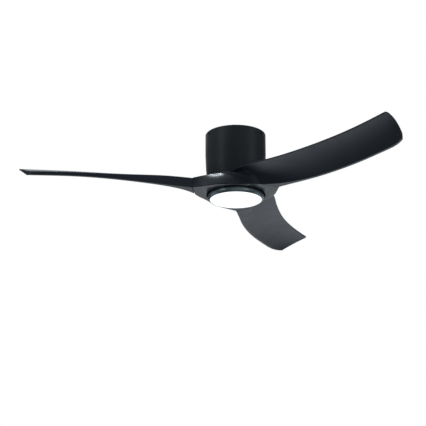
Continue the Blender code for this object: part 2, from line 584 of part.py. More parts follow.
def cavity_point(point, rows, z, least=0.0):
    """The hub's hollow at a point's angle: a wall's thickness inside the innermost of these rows."""
    angle = math.degrees(math.atan2(point.y, point.x))
    radius = max(least, min(radius_at(row, angle) for row in rows) - HUB_WALL)
    return Vector((radius * point.x / point.xy.length, radius * point.y / point.xy.length, z))


def make_hub(plastic):
    """The hub's upper shell, open below, and the bottom cover with the lamp's round recess."""
    flank, seam = 9, 3
    rows = [lobe_row(q, flank, seam) for q in (0, 0.25, 0.5, 0.75, 1)]
    rim, foot = rows[0], rows[-1]
    edge = [p + Vector((0, 0, max(RIM_LIP, EDGE_A_T * min(i / flank, 1) ** 2))) for i, p in enumerate(rim)]
    for i in range(flank + 1, len(edge)):
        share = (i - flank) / (seam + 1)
        edge[i] = Vector((*rim[i].xy, blade_point(share, 0, True).z))
    split = HUB_BOTTOM + 0.0025 + GAP
    shell_foot = [Vector((*p.xy, split)) for p in foot]
    step = RECESS_ROOF + 0.0007
    wide = [cavity_point(p, rows[len(rows) // 2 :], split, RECESS_R + RECESS_WALL + 2 * GAP) for p in foot]
    narrow = [cavity_point(p, rows, step) for p in foot]
    ceiling = [Vector((*p.xy, min(HUB_TOP, top.z) - HUB_SKIN - 0.0008)) for p, top in zip(narrow, edge)]
    loops = [on_radius(edge, HUB_HOLE_R, HUB_TOP), on_radius(edge, HUB_RING_R, HUB_TOP), edge]
    loops += rows[:-1] + [shell_foot, wide, [Vector((*p.xy, step)) for p in wide], narrow, ceiling]
    loops += [on_radius(edge, HUB_RING_R - 0.003, HUB_TOP - HUB_SKIN),
              on_radius(edge, HUB_HOLE_R, HUB_TOP - HUB_SKIN)]
    shell = ring_loops("hub_shell", [lobed(loop) for loop in loops], plastic)
    top = ROTOR_FACE - CARRIER_T - 2 * GAP
    for i, angle in enumerate(BLADE_ANGLES, 1):
        window = blocks(f"cut_window_{i}", [((ARM_END - 0.002, TONGUE_Y[0] - GAP, top - TONGUE_T - GAP),
                                             (SEAM_X + 0.003, TONGUE_Y[1] + GAP, top + GAP))])
        combine(shell, turn(window, SEAM_ANGLE + angle))
    plate_top, outer = split - GAP, RECESS_R + RECESS_WALL
    roof_top, roof = RECESS_ROOF, RECESS_ROOF - RECESS_WALL
    loops = [[Vector((*p.xy, plate_top)) for p in foot], foot, on_radius(foot, RECESS_R, HUB_BOTTOM),
             on_radius(foot, RECESS_R, roof), on_radius(foot, ROOF_HOLE_R, roof),
             on_radius(foot, ROOF_HOLE_R, roof_top), on_radius(foot, outer, roof_top),
             on_radius(foot, outer, plate_top)]
    ring_loops("hub_bottom_cover", [lobed(loop) for loop in loops], plastic)


# ---------------------------------------------------------------- lamp
def make_lamp(steel, aluminium, white, black, opal):
    plate_bottom = LAMP_PLATE_TOP - LAMP_PLATE_T
    holes = [on_circle(SHAFT_R + GAP, COARSE)] + [on_circle(PLAIN_HOLE_R, 8, 0.2, spot) for spot in LAMP_SPOTS]
    slab("lamp_mount_plate", [on_circle(LAMP_PLATE_R, FINE)] + holes, LAMP_PLATE_TOP, plate_bottom, steel)
    nut("lamp_nut", plate_bottom - GAP, 0.005, steel)
    pan_top = plate_bottom - GAP
    floor = pan_top - PAN_T
    wall = PAN_R - 0.002
    outline = [(PAN_HOLE_R, pan_top), (PAN_R, pan_top), (PAN_R, PAN_BOTTOM), (wall, PAN_BOTTOM),
               (wall, floor), (PAN_HOLE_R, floor)]
    pan = turned("lamp_pan", outline, aluminium, FINE)
    combine(pan, drills("cut_pan_screws", LAMP_SPOTS, PLAIN_HOLE_R, pan_top + 0.002, floor - 0.002, 8))
    for i, (x, y) in enumerate(LAMP_SPOTS, 1):
        screw(f"lamp_screw_{i}", 0.0038, 0.0024, 0.0020, 0.0042, upward(x, y, floor - GAP), steel)
    board_top = floor - GAP
    board_bottom = board_top - BOARD_T
    board = slab("led_board", [on_circle(LED_BOARD_R, FINE), on_circle(PAN_HOLE_R + 0.0005, COARSE)],
                 board_top, board_bottom, white)
    half = 0.0017
    chips = [((x - half, y - half, board_bottom - 0.0008), (x + half, y + half, board_bottom + 0.0004))
             for x, y in on_circle(LED_RING_R, LEDS, 0.17)]
    combine(board, blocks("join_led_chips", chips), "UNION")
    ledge, lip_out, lip_in, lip_top = -0.2008, 0.0838, 0.0820, PAN_BOTTOM + 0.0027
    bezel = [(lip_out, PAN_BOTTOM - GAP), (BEZEL_R, PAN_BOTTOM - GAP), *BEZEL_FLANK, (LENS_R + GAP, LENS_Z),
             (LENS_R + GAP, ledge), (LENS_FLANGE_R + GAP, ledge), (LENS_FLANGE_R + GAP, HUB_BOTTOM),
             (lip_in, HUB_BOTTOM + 0.0005), (lip_in, lip_top), (lip_out, lip_top)]
    turned("lamp_bezel", bezel, black, FINE)
    inside = LENS_R - LENS_T
    lens = [(0, LENS_Z - 0.0005), (0.060, LENS_Z - 0.0002), (0.0785, LENS_Z + 0.0004),
            (LENS_R, LENS_Z + 0.0015), (LENS_R, ledge + GAP), (LENS_FLANGE_R, ledge + GAP),
            (LENS_FLANGE_R, ledge + GAP + 0.002), (inside, ledge + GAP + 0.002), (inside, LENS_Z + 0.003),
            (0.060, LENS_Z + 0.0018), (0, LENS_Z + 0.0015)]
    turned("diffuser", lens, opal, FINE)


# ---------------------------------------------------------------- the whole fan
BLADE_ANGLES = [FIRST_BLADE + 2 * math.pi * i / LOBES for i in range(LOBES)]
BOLTS = [(sx * BOLT_X, sy * BOLT_Y) for sx in (-1, 1) for sy in (-1, 1)]
HOUSING_SCREW_ANGLES = [math.radians(90 + 360 * i / LOBES) for i in range(LOBES)]
CARRIER_SPOTS = on_circle(CARRIER_SCREW_R, LOBES, FIRST_BLADE - 1)
BLADE_SCREW_SPOTS = [
    (x * math.cos(lobe) - y * math.sin(lobe), x * math.sin(lobe) + y * math.cos(lobe))
    for lobe in BLADE_ANGLES
    for x, y in (in_seam(TONGUE_SCREW_X, across) for across in TONGUE_SCREWS)
]
LAMP_SPOTS = on_circle(LAMP_SCREW_R, LOBES, 0.5)
EDGE_A_AT, EDGE_B_AT = spline(EDGE_A), spline(EDGE_B)
BLADE_LENGTH = float(np.linalg.norm(np.diff(np.array(EDGE_A), axis=0), axis=1).sum())


def main():
    for old in list(bpy.data.objects):
        bpy.data.objects.remove(old, do_unlink=True)
    black = paint("satin_black", (0.018, 0.019, 0.021), 0.42)
    bezel = paint("bezel_black", (0.020, 0.022, 0.023), 0.35)
    opal = paint("opal_acrylic", (0.93, 0.93, 0.92), 0.30)
    steel = paint("zinc_steel", (0.55, 0.56, 0.57), 0.35, 1.0)
    aluminium = paint("cast_aluminium", (0.62, 0.63, 0.64), 0.45, 1.0)
    lamination = paint("lamination_steel", (0.22, 0.22, 0.23), 0.50, 1.0)
    copper = paint("enamelled_copper", (0.55, 0.24, 0.09), 0.35, 1.0)
    magnet = paint("ferrite", (0.10, 0.10, 0.11), 0.60)
    casing = paint("controller_plastic", (0.06, 0.06, 0.06), 0.55)
    green = paint("board_green", (0.03, 0.16, 0.07), 0.50)
    cream = paint("terminal_cream", (0.80, 0.78, 0.70), 0.50)
    white = paint("led_board_white", (0.88, 0.88, 0.86), 0.50)
    wire = paint("wire_white", (0.75, 0.75, 0.73), 0.55)

    make_ceiling_plate(steel)
    make_bracket(steel)
    make_housing(black, steel)
    make_controller(casing, green, cream)
    make_shaft(steel)
    make_stator(lamination, aluminium, copper)
    for place, top in BEARING_TOPS.items():
        make_bearing(place, top, steel)
    make_rotor(aluminium, magnet, steel)
    make_carrier(aluminium, steel)
    make_hub(black)
    for i, angle in enumerate(BLADE_ANGLES, 1):
        make_blade(f"blade_{i}", angle, black)
    make_lamp(steel, aluminium, white, bezel, opal)

    start = BOARD_TOP - BOARD_T - GAP
    to_motor = [(-0.0025, start), (-0.0025, -0.050), (-0.0025, -0.070), (-0.0024, -0.086), (-0.0030, -0.0920),
                (-0.0065, -0.0953), (-0.0150, -0.0950), (-0.0300, -0.0946), (-0.0430, -0.0947)]
    to_lamp = [(0.0025, start), (0.0025, -0.060), (0.0025, -0.100), (0.0025, -0.150), (0.0025, -0.188),
               (0.0036, -0.1930), (0.0100, -0.1958), (0.0180, -0.1948), (0.0225, -0.1920), (0.0235, -0.1884)]
    lead("motor_lead", [(x, 0, z) for x, z in to_motor], wire)
    lead("lamp_lead", [(x, 0, z) for x, z in to_lamp], wire)


main()
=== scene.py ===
"""The looks of the ceiling fan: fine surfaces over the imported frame, procedural materials and a studio.

Metres, +Z up, origin on the fan's axis in the ceiling plane. Angles are worked out in each blade's own
frame, drawn along +X, where edge A is the upper leading edge and edge B the lower trailing edge.
"""

import json
import math

import bmesh
import bpy
import numpy as np
from mathutils import Matrix, Vector

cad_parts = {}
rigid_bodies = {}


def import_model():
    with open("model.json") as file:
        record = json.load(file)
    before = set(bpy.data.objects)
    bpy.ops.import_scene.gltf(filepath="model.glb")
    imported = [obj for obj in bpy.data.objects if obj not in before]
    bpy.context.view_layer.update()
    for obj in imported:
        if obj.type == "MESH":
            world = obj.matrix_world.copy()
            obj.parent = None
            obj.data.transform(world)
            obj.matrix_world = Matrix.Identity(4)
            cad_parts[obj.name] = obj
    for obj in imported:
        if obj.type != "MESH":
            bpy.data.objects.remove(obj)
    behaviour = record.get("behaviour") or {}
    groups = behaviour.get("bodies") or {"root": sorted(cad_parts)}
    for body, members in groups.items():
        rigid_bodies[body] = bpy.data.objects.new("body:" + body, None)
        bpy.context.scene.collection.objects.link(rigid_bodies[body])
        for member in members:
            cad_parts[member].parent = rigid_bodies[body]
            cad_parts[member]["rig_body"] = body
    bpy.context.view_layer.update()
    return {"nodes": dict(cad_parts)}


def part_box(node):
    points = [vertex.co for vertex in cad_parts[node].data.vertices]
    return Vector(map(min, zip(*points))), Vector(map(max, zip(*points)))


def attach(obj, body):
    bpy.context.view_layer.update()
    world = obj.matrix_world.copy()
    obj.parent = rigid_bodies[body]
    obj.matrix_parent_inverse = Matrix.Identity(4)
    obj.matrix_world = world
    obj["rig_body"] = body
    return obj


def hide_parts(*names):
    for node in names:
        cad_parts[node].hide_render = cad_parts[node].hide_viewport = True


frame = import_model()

# ---------------------------------------------------------------- sizes, from the frame where it has them
GAP = 0.0003                 # clearance between pieces that touch
LOBES = 3                    # blades, hub lobes and most screw circles
FIRST_BLADE = math.radians(196)
BLADE_ANGLES = [FIRST_BLADE + 2 * math.pi * i / LOBES for i in range(LOBES)]
ROUND = 160                  # sides of a large round piece
CREASE, HUB_CREASE = 28, 24  # faces that meet at more than this, in degrees, show an edge
CUT_PAST = 0.002             # how far a cutter runs past what it cuts
ARC_MID = 0.29               # how far a corner's arc stands back at its middle, as a share of its radius

HOUSING_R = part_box("housing")[1].x
HOUSING_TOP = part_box("housing")[1].z
HOUSING_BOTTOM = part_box("housing")[0].z
HOUSING_WALL, HOUSING_LIP_R = 0.002, 0.083
HOUSING_SKIRT = ((HOUSING_R, -0.0660), (0.0925, -0.0920), (0.0916, -0.1120), (0.0907, -0.1220),
                 (0.0893, -0.1315), (0.0872, -0.1430), (0.0850, HOUSING_BOTTOM))
HOUSING_SCREW_ANGLES = [math.radians(90 + 360 * i / LOBES) for i in range(LOBES)]
HOUSING_SCREW_Z, HOUSING_HOLE_R = -0.009, 0.0022
PLATE_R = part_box("ceiling_plate")[1].x
PLATE_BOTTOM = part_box("ceiling_plate")[0].z
PLATE_T, RIM_T = 0.0025, 0.0022
SLOT_SPACING, SLOT_LENGTH, SLOT_WIDTH = 0.0889, 0.0120, 0.0055
WIRE_HOLE_R, WIRE_HOLE_Y = 0.012, 0.045
BOLT_X, BOLT_Y, BOLT_HOLE_R = 0.072, 0.020, 0.0028
HUB_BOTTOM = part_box("hub_bottom_cover")[0].z
COVER_TOP, COVER_T = -0.1772, 0.0025
BEZEL_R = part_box("lamp_bezel")[1].x
BEZEL_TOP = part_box("lamp_bezel")[1].z
BEZEL_FLANK = ((BEZEL_R, -0.2010), (0.0862, -0.2045), (0.0842, -0.2080), (0.0818, -0.2106))
LENS_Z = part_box("lamp_bezel")[0].z
LENS_R, LENS_FLAT_R, LENS_FLANGE_R, LENS_FLANGE_Z, LENS_T = 0.0794, 0.0775, 0.0825, -0.2005, 0.002
HUB_TOP, HUB_SKIN, HUB_WALL = -0.1525, 0.0024, 0.004
HUB_HOLE_R, HUB_RING_R, RECESS_R, RECESS_WALL, ROOF_HOLE_R = 0.064, 0.0890, 0.0905, 0.0025, 0.040
RIM_LIP = 0.0002             # least height of the hub's top edge over its flank
SEAM_ANGLE, SEAM_X, SEAM_GAP = math.radians(-20.4), 0.1246, 0.0010
TONGUE_X, TONGUE_Y, TONGUE_Z = (0.0960, 0.1346), (0.030, 0.072), (-0.1798, -0.1718)
TONGUE_SCREW_X, TONGUE_SCREWS, TONGUE_HOLE_R = 0.1075, (0.041, 0.061), 0.0023
WINDOW_X = (0.1170, SEAM_X + 0.003)

# One blade, seen along +X: points on each edge from the hub to just past the tip.
EDGE_A = ((0.1020, -0.0833, -0.1530), (0.1500, -0.0862, -0.1542), (0.2100, -0.0801, -0.1553),
          (0.3000, -0.0704, -0.1536), (0.4000, -0.0647, -0.1493), (0.5000, -0.0697, -0.1462),
          (0.6000, -0.0843, -0.1436), (0.6612, -0.0960, -0.1420))
EDGE_B = ((0.1468, 0.0366, -0.1960), (0.2000, 0.0410, -0.1967), (0.2700, 0.0484, -0.1969),
          (0.3500, 0.0522, -0.1957), (0.4500, 0.0476, -0.1935), (0.5500, 0.0322, -0.1921),
          (0.6100, 0.0161, -0.1907), (0.6421, -0.0011, -0.1869))
# One hub lobe's upper and lower rims, as (degrees, radius, height) and (degrees, radius), and its flank.
LOBE_TOP = ((-106, 0.1512, -0.1650), (-98, 0.1262, -0.1588), (-88, 0.1065, -0.1544),
            (-76, 0.0942, -0.1523), (-65, 0.0938, -0.1522), (-52, 0.1030, -0.1524))
LOBE_FOOT = ((-106, 0.1512), (-97, 0.1355), (-86, 0.1245), (-72, 0.1140), (-57, 0.1045),
             (-45, 0.1015), (-30, 0.1070))
FLANK_BOW = 0.12             # how far the flank bulges, as a share of its rims' distance apart
EDGE_A_T, CORNER_ROUND, TOP_BOW = 0.003, 0.0025, 0.003
EDGE_A_ROUND, FOOT_ROUND = 0.45 * EDGE_A_T, 0.0008
TIP_BOW, TIP_CORNER_A, TIP_CORNER_B, TIP_CHORD = 0.0085, 0.0093, 0.0089, 0.095
WALL_FAR, WALL_RISE, WALL_REACH = 0.0089, 0.0221, 0.204         # edge B's height far out, more at the root
STRIP_FAR, STRIP_RISE, STRIP_REACH = 0.0093, 0.0500, 0.041      # the same for the width of its flat strip
LEAD_FAR, LEAD_FALL, LEAD_REACH = 0.55, 0.30, 0.10              # slope under edge A, less at the root


# ---------------------------------------------------------------- mesh helpers
def add_object(name, bm, crease=CREASE):
    """Store a bmesh as a smooth-shaded object with its normals facing out."""
    bmesh.ops.recalc_face_normals(bm, faces=bm.faces)
    mesh = bpy.data.meshes.new(name)
    bm.to_mesh(mesh)
    bm.free()
    mesh.shade_smooth()
    mesh.set_sharp_from_angle(angle=math.radians(crease))
    made = bpy.data.objects.new(name, mesh)
    bpy.context.scene.collection.objects.link(made)
    return made


def ring_loops(name, loops, crease=CREASE):
    """Join equal-length loops, each to the next and the last to the first. A loop of one point is a pole."""
    bm = bmesh.new()
    count = max(len(loop) for loop in loops)
    rings = [[bm.verts.new(p) for p in loop] * (count if len(loop) == 1 else 1) for loop in loops]
    for ring, after in zip(rings, rings[1:] + rings[:1]):
        for i in range(count):
            j = (i + 1) % count
            corners = list(dict.fromkeys((ring[i], ring[j], after[j], after[i])))
            if len(corners) > 2:
                bm.faces.new(corners)
    return add_object(name, bm, crease)


def filleted(outline, radii):
    """A closed outline of (radius, height) points with some corners rounded. radii maps their indexes."""
    steps, made = 4, []
    for i, corner in enumerate(outline):
        if i not in radii:
            made.append(corner)
            continue
        corner = Vector(corner)
        before = Vector(outline[i - 1]) - corner
        after = Vector(outline[(i + 1) % len(outline)]) - corner
        start, end = corner + before.normalized() * radii[i], corner + after.normalized() * radii[i]
        for k in range(steps + 1):
            t = k / steps
            point = start * (1 - t) ** 2 + corner * 2 * t * (1 - t) + end * t**2
            made.append((point.x, point.y))
    return made


def turned(name, outline, radii=None, segments=ROUND, crease=CREASE):
    """Turn a closed (radius, height) outline about Z. Points on the axis become poles."""
    outline = filleted(outline, radii or {})
    turns = [2 * math.pi * i / segments for i in range(segments)]
    loops = [[(0, 0, z)] if r == 0 else [(r * math.cos(a), r * math.sin(a), z) for a in turns]
             for r, z in outline]
    return ring_loops(name, loops, crease)


def prism(name, outlines, top, bottom):
    """Upright cutters over closed flat outlines."""
    bm = bmesh.new()
    for outline in outlines:
        upper = [bm.verts.new((x, y, top)) for x, y in outline]
        lower = [bm.verts.new((x, y, bottom)) for x, y in outline]
        bm.faces.new(upper)
        bm.faces.new(lower[::-1])
        for i in range(len(outline)):
            j = (i + 1) % len(outline)
            bm.faces.new((upper[i], lower[i], lower[j], upper[j]))
    return add_object(name, bm)


def settle(target, other, operation="DIFFERENCE"):
    """Cut or join a helper into the target for good, and remove the helper."""
    change = target.modifiers.new("change", "BOOLEAN")
    change.operation = operation
    change.object = other
    graph = bpy.context.evaluated_depsgraph_get()
    mesh = bpy.data.meshes.new_from_object(target.evaluated_get(graph))
    target.modifiers.clear()
    target.data = mesh
    bpy.data.objects.remove(other, do_unlink=True)
    mesh.shade_smooth()
    mesh.set_sharp_from_angle(angle=math.radians(CREASE))
    return target


def circle(radius, x=0.0, y=0.0, count=24):
    """A round outline."""
    turns = [2 * math.pi * i / count for i in range(count)]
    return [(x + radius * math.cos(a), y + radius * math.sin(a)) for a in turns]


def box_outline(low, high):
    """A rectangle between two opposite corners."""
    return [(low[0], low[1]), (high[0], low[1]), (high[0], high[1]), (low[0], high[1])]


def spline(points):
    """A natural cubic through the points: a function from the share of its length, 0 to 1, to a point."""
    points = np.array(points, float)
    steps = np.linalg.norm(np.diff(points, axis=0), axis=1)
    knots = np.concatenate([[0], np.cumsum(steps)])
    last = len(points) - 1
    matrix, right = np.eye(last + 1), np.zeros_like(points)
    for i in range(1, last):
        matrix[i, i - 1 : i + 2] = steps[i - 1], 2 * (steps[i - 1] + steps[i]), steps[i]
        right[i] = 6 * ((points[i + 1] - points[i]) / steps[i] - (points[i] - points[i - 1]) / steps[i - 1])
    bends = np.linalg.solve(matrix, right)

    def at(share):
        i = min(max(int(np.searchsorted(knots, share * knots[-1])) - 1, 0), last - 1)
        before, after, step = share * knots[-1] - knots[i], knots[i + 1] - share * knots[-1], steps[i]
        return ((bends[i] * after**3 + bends[i + 1] * before**3) / (6 * step)
                + (points[i] / step - bends[i] * step / 6) * after
                + (points[i + 1] / step - bends[i + 1] * step / 6) * before)

    return at


def in_seam(x, y):
    """From the frame of a blade's root face, X across the face, to the blade's own."""
    cos, sin = math.cos(SEAM_ANGLE), math.sin(SEAM_ANGLE)
    return x * cos - y * sin, x * sin + y * cos


EDGE_A_AT, EDGE_B_AT = spline(EDGE_A), spline(EDGE_B)
BLADE_LENGTH = float(np.linalg.norm(np.diff(np.array(EDGE_A), axis=0), axis=1).sum())


# ---------------------------------------------------------------- blades
def wall_height(distance):
    """Height of a blade's thick edge, that far out from the root."""
    return WALL_FAR + WALL_RISE / (1 + (distance / WALL_REACH) ** 3)


def strip_share(distance, chord):
    """Share of the chord where the hollow underside ends and the flat strip along edge B begins."""
    return 1 - (STRIP_FAR + STRIP_RISE * math.exp(-distance / STRIP_REACH)) / chord


def under_drop(q, distance):
    """How far down the hollow underside has come at the share q of its width, from 0 to 1."""
    lead_slope = LEAD_FAR - LEAD_FALL * math.exp(-distance / LEAD_REACH)
    return lead_slope * q + (1 - lead_slope) * q * q


def rounded(distance, radius):
    """How far a quarter-round of this radius stands back, that far from its corner."""
    left = min(max(radius - distance, 0), radius)
    return radius - math.sqrt(radius**2 - left**2)


def blade_point(share, along, upper):
    """A point of the blade's skin: share runs from edge A to edge B, along from the root to the tip."""
    a, b = Vector(EDGE_A_AT(along)), Vector(EDGE_B_AT(along))
    distance, chord = along * BLADE_LENGTH, (b - a).length
    strip = strip_share(distance, chord)
    place = a.lerp(b, share)
    if upper:
        high = (a.z + EDGE_A_T) * (1 - share) + (b.z + wall_height(distance)) * share
        high += TOP_BOW * 4 * share * (1 - share)
        high -= rounded((1 - share) * chord, CORNER_ROUND) + rounded(share * chord, EDGE_A_ROUND)
        place.z = high
    else:
        place.z = a.z + (b.z - a.z) * under_drop(min(share / strip, 1), distance)
        place.z += rounded(share * chord, EDGE_A_ROUND) + rounded((1 - share) * chord, FOOT_ROUND)
    return place


def tip_cut(share):
    """How far short of the curves' ends the blade stops: a bowed end line with rounded corners."""
    bow = TIP_BOW * (2 * share - 1) ** 2
    return bow + rounded(share * TIP_CHORD, TIP_CORNER_A) + rounded((1 - share) * TIP_CHORD, TIP_CORNER_B)


def spread(count, start_bias=0.0, end_bias=0.0):
    """Shares from 0 to 1, closer together near an end with a bias."""
    made = []
    for i in range(count + 1):
        t = i / count
        made.append(t - start_bias * math.sin(math.pi * t) * (1 - t) / 2
                    + end_bias * math.sin(math.pi * t) * t / 2)
    return made


def blade_rows(bm):
    """The blade's sections from root to tip, each a loop of vertices: the underside, then the top back."""
    near_a, inner = 0.013, 0.975          # where edge A's close rows end, and how far the even ones reach
    hollow = [0, 0.002, 0.006, near_a] + [near_a + inner * t for t in spread(22)[1:]] + [0.996, 1]
    strip_part = [0.04, 0.12, 0.3, 0.5, 0.7, 0.85, 0.93, 0.97, 0.99, 1]
    rows = []
    for station in spread(84, 0.5, 0.6):
        a, b = Vector(EDGE_A_AT(station)), Vector(EDGE_B_AT(station))
        strip = strip_share(station * BLADE_LENGTH, (b - a).length)
        shares = [strip * q for q in hollow] + [strip + (1 - strip) * q for q in strip_part]
        row = {True: [], False: []}
        for upper in row:
            for share in shares:
                point = blade_point(share, station * (1 - tip_cut(share) / BLADE_LENGTH), upper)
                if station == 0:
                    point += Vector((*in_seam(SEAM_GAP, 0), 0))
                row[upper].append(bm.verts.new(point))
        rows.append(row[False] + row[True][::-1])
    return rows


def make_blade(name, angle):
    """A blade with fine sections, and the tongue that its two screws go through."""
    bm = bmesh.new()
    rows = blade_rows(bm)
    count = len(rows[0])
    for row, after in zip(rows, rows[1:]):
        for i in range(count):
            bm.faces.new((row[i], row[(i + 1) % count], after[(i + 1) % count], after[i]))
    for row in (rows[0], rows[-1]):
        for i in range(count // 2 - 1):
            bm.faces.new((row[i], row[i + 1], row[count - 2 - i], row[count - 1 - i]))
    blade = add_object(name, bm)
    tongue_low, tongue_high = (TONGUE_X[0], TONGUE_Y[0]), (TONGUE_X[1], TONGUE_Y[1])
    tongue = [in_seam(x, y) for x, y in box_outline(tongue_low, tongue_high)]
    settle(blade, prism("tongue", [tongue], TONGUE_Z[1], TONGUE_Z[0]), "UNION")
    spots = [in_seam(TONGUE_SCREW_X, y) for y in TONGUE_SCREWS]
    holes = [circle(TONGUE_HOLE_R, x, y) for x, y in spots]
    settle(blade, prism("holes", holes, TONGUE_Z[1] + CUT_PAST, TONGUE_Z[0] - CUT_PAST))
    blade.data.transform(Matrix.Rotation(angle, 4, "Z"))
    return blade


# ---------------------------------------------------------------- hub
def lobe_row(q, flank_count, seam_count):
    """One loop's points over one lobe: along the flank at the share q from upper to lower rim, then
    along the root face of the blade."""
    scale = 400          # degrees that count as much as a metre along the rims' curves
    a, corner = Vector(EDGE_A[0]), Vector(EDGE_B[0])
    foot = a.lerp(corner, strip_share(0, (corner - a).length))
    ends = [(math.degrees(math.atan2(p.y, p.x)), math.hypot(p.x, p.y)) for p in (a, foot)]
    upper = spline([(t / scale, r, z) for t, r, z in LOBE_TOP] + [(ends[0][0] / scale, ends[0][1], a.z)])
    lower = spline([(t / scale, r) for t, r in LOBE_FOOT] + [(ends[1][0] / scale, ends[1][1])])
    row = []
    for i in range(flank_count + 1):
        along = i / flank_count
        (turn, radius, z), (low_turn, low_radius) = upper(along), lower(along)
        turn, low_turn = math.radians(turn * scale), math.radians(low_turn * scale)
        high = Vector((radius * math.cos(turn), radius * math.sin(turn), z))
        low = Vector((low_radius * math.cos(low_turn), low_radius * math.sin(low_turn), 0))
        point = high.lerp(low, q + FLANK_BOW * math.sin(math.pi * q) * math.sin(math.pi * along) ** 2)
        point.z = high.z + (HUB_BOTTOM - high.z) * (q + (under_drop(q, 0) - q) * along)
        row.append(point)
    last = row[-1]
    shoulder = corner.z + wall_height(0)
    drop = (last.z - a.z) / (HUB_BOTTOM - a.z)
    for i in range(1, seam_count + 1):
        point = last.lerp(corner, i / (seam_count + 1))
        point.z = last.z + (shoulder + (HUB_BOTTOM - shoulder) * drop - last.z) * i / (seam_count + 1)
        row.append(point)
    inset = Vector((*in_seam(-SEAM_GAP, 0), 0))
    for i in range(flank_count, len(row)):
        row[i] = row[i] + inset
    return row


def lobed(row):
    """The whole loop: one lobe's points turned to each blade."""
    return [Matrix.Rotation(angle, 3, "Z") @ point for angle in BLADE_ANGLES for point in row]


def radius_at(row, angle):
    """Radius of one lobe's loop at an angle in degrees, from its start to the next lobe's."""
    line = row + [Matrix.Rotation(2 * math.pi / LOBES, 3, "Z") @ row[0]]
    turns = [math.degrees(math.atan2(p.y, p.x)) for p in line]
    return float(np.interp(angle, turns, [math.hypot(p.x, p.y) for p in line]))


def on_radius(row, radius, z):
    """A loop on a circle, at the angles of another loop's points."""
    return [Vector((radius * p.x / p.xy.length, radius * p.y / p.xy.length, z)) for p in row]


def drawn_in(row, amount, z):
    """A loop moved towards the axis, at one height."""
    return [Vector((*(p.xy * (1 - amount / p.xy.length)), z)) for p in row]


def hollow_loop(row, rows, z, least=0.0):
    """The hub's hollow: a wall's thickness inside the innermost of these rows, at this radius at least."""
    made = []
    for p in row:
        angle = math.degrees(math.atan2(p.y, p.x))
        radius = max(least, min(radius_at(other, angle) for other in rows) - HUB_WALL)
        made.append(Vector((radius * p.x / p.xy.length, radius * p.y / p.xy.length, z)))
    return made


def top_edge(rim, flank):
    """The hub's top edge over the flank's upper rim: it rises to meet the blade's top at the root face."""
    edge = []
    for i, p in enumerate(rim):
        lip = max(RIM_LIP, EDGE_A_T * min(i / flank, 1) ** 2)
        edge.append(p + Vector((0, 0, lip)))
    corner, last = Vector(EDGE_B[0]), rim[flank]
    for i in range(flank + 1, len(edge)):
        share = (rim[i].xy - last.xy).length / (corner.xy - last.xy).length
        edge[i] = Vector((*rim[i].xy, blade_point(share, 0, True).z))
    return edge


def softened(edge, rim):
    """Three loops that round the top edge over: on the top, in the corner and on the flank."""
    most, share = 0.0010, 0.4          # the rounding's radius, and its limit as a share of the lip
    soft = [min(most, share * (e.z - r.z)) for e, r in zip(edge, rim)]
    inner = [Vector((*(e.xy * (1 - s / e.xy.length)), e.z)) for e, s in zip(edge, soft)]
    middle = [Vector((*(e.xy * (1 - ARC_MID * s / e.xy.length)), e.z - ARC_MID * s))
              for e, s in zip(edge, soft)]
    lower = [e - Vector((0, 0, s)) for e, s in zip(edge, soft)]
    return [inner, middle, lower]


def make_hub_shell(rows, flank):
    """The hub's shell, open below, with a window in each root face for the blade's tongue."""
    rim, foot = rows[0], rows[-1]
    edge = top_edge(rim, flank)
    soft = softened(edge, rim)
    split, step = HUB_BOTTOM + COVER_T + GAP, COVER_TOP + 0.0007      # the shell's foot, and a step inside it
    shell_foot = [Vector((*p.xy, split)) for p in foot]
    wide = hollow_loop(foot, rows[len(rows) // 2 :], split, RECESS_R + RECESS_WALL + 2 * GAP)
    narrow = hollow_loop(foot, rows, step)
    corner_drop, inner_ring = HUB_SKIN + 0.0008, HUB_RING_R - 0.003
    ceiling = [Vector((*p.xy, min(HUB_TOP, top.z) - corner_drop)) for p, top in zip(narrow, edge)]
    loops = [on_radius(edge, HUB_HOLE_R, HUB_TOP), on_radius(edge, HUB_RING_R, HUB_TOP)]
    loops += [[a.lerp(b, t) for a, b in zip(loops[1], soft[0])] for t in (0.35, 0.7)]
    loops += soft + rows[1:-1]
    loops += [shell_foot, wide, [Vector((*p.xy, step)) for p in wide], narrow, ceiling]
    loops += [on_radius(edge, radius, HUB_TOP - HUB_SKIN) for radius in (inner_ring, HUB_HOLE_R)]
    shell = ring_loops("hub_shell_fine", [lobed(loop) for loop in loops], HUB_CREASE)
    outline = box_outline((WINDOW_X[0], TONGUE_Y[0] - GAP), (WINDOW_X[1], TONGUE_Y[1] + GAP))
    windows = [[Matrix.Rotation(angle, 2) @ Vector(in_seam(*p)) for p in outline] for angle in BLADE_ANGLES]
    return settle(shell, prism("windows", windows, TONGUE_Z[1] + GAP, TONGUE_Z[0] - GAP))


def make_hub_cover(foot):
    """The hub's bottom cover, with the lamp's round recess."""
    top, roof, outer = HUB_BOTTOM + COVER_T, COVER_TOP - RECESS_WALL, RECESS_R + RECESS_WALL
    fillet = 0.0006
    back_mid, recess_round, recess_mid = ARC_MID * fillet, 1.5 * fillet, 0.44 * fillet
    loops = [[Vector((*p.xy, top)) for p in foot], [Vector((*p.xy, HUB_BOTTOM + fillet)) for p in foot],
             drawn_in(foot, back_mid, HUB_BOTTOM + back_mid), drawn_in(foot, fillet, HUB_BOTTOM)]
    for back, rise in ((recess_round, 0), (recess_mid, recess_mid), (0, recess_round)):
        loops.append(on_radius(foot, RECESS_R + back, HUB_BOTTOM + rise))
    for radius, z in ((RECESS_R, roof), (ROOF_HOLE_R, roof), (ROOF_HOLE_R, COVER_TOP), (outer, COVER_TOP),
                      (outer, top)):
        loops.append(on_radius(foot, radius, z))
    return ring_loops("hub_bottom_cover_fine", [lobed(loop) for loop in loops], HUB_CREASE)


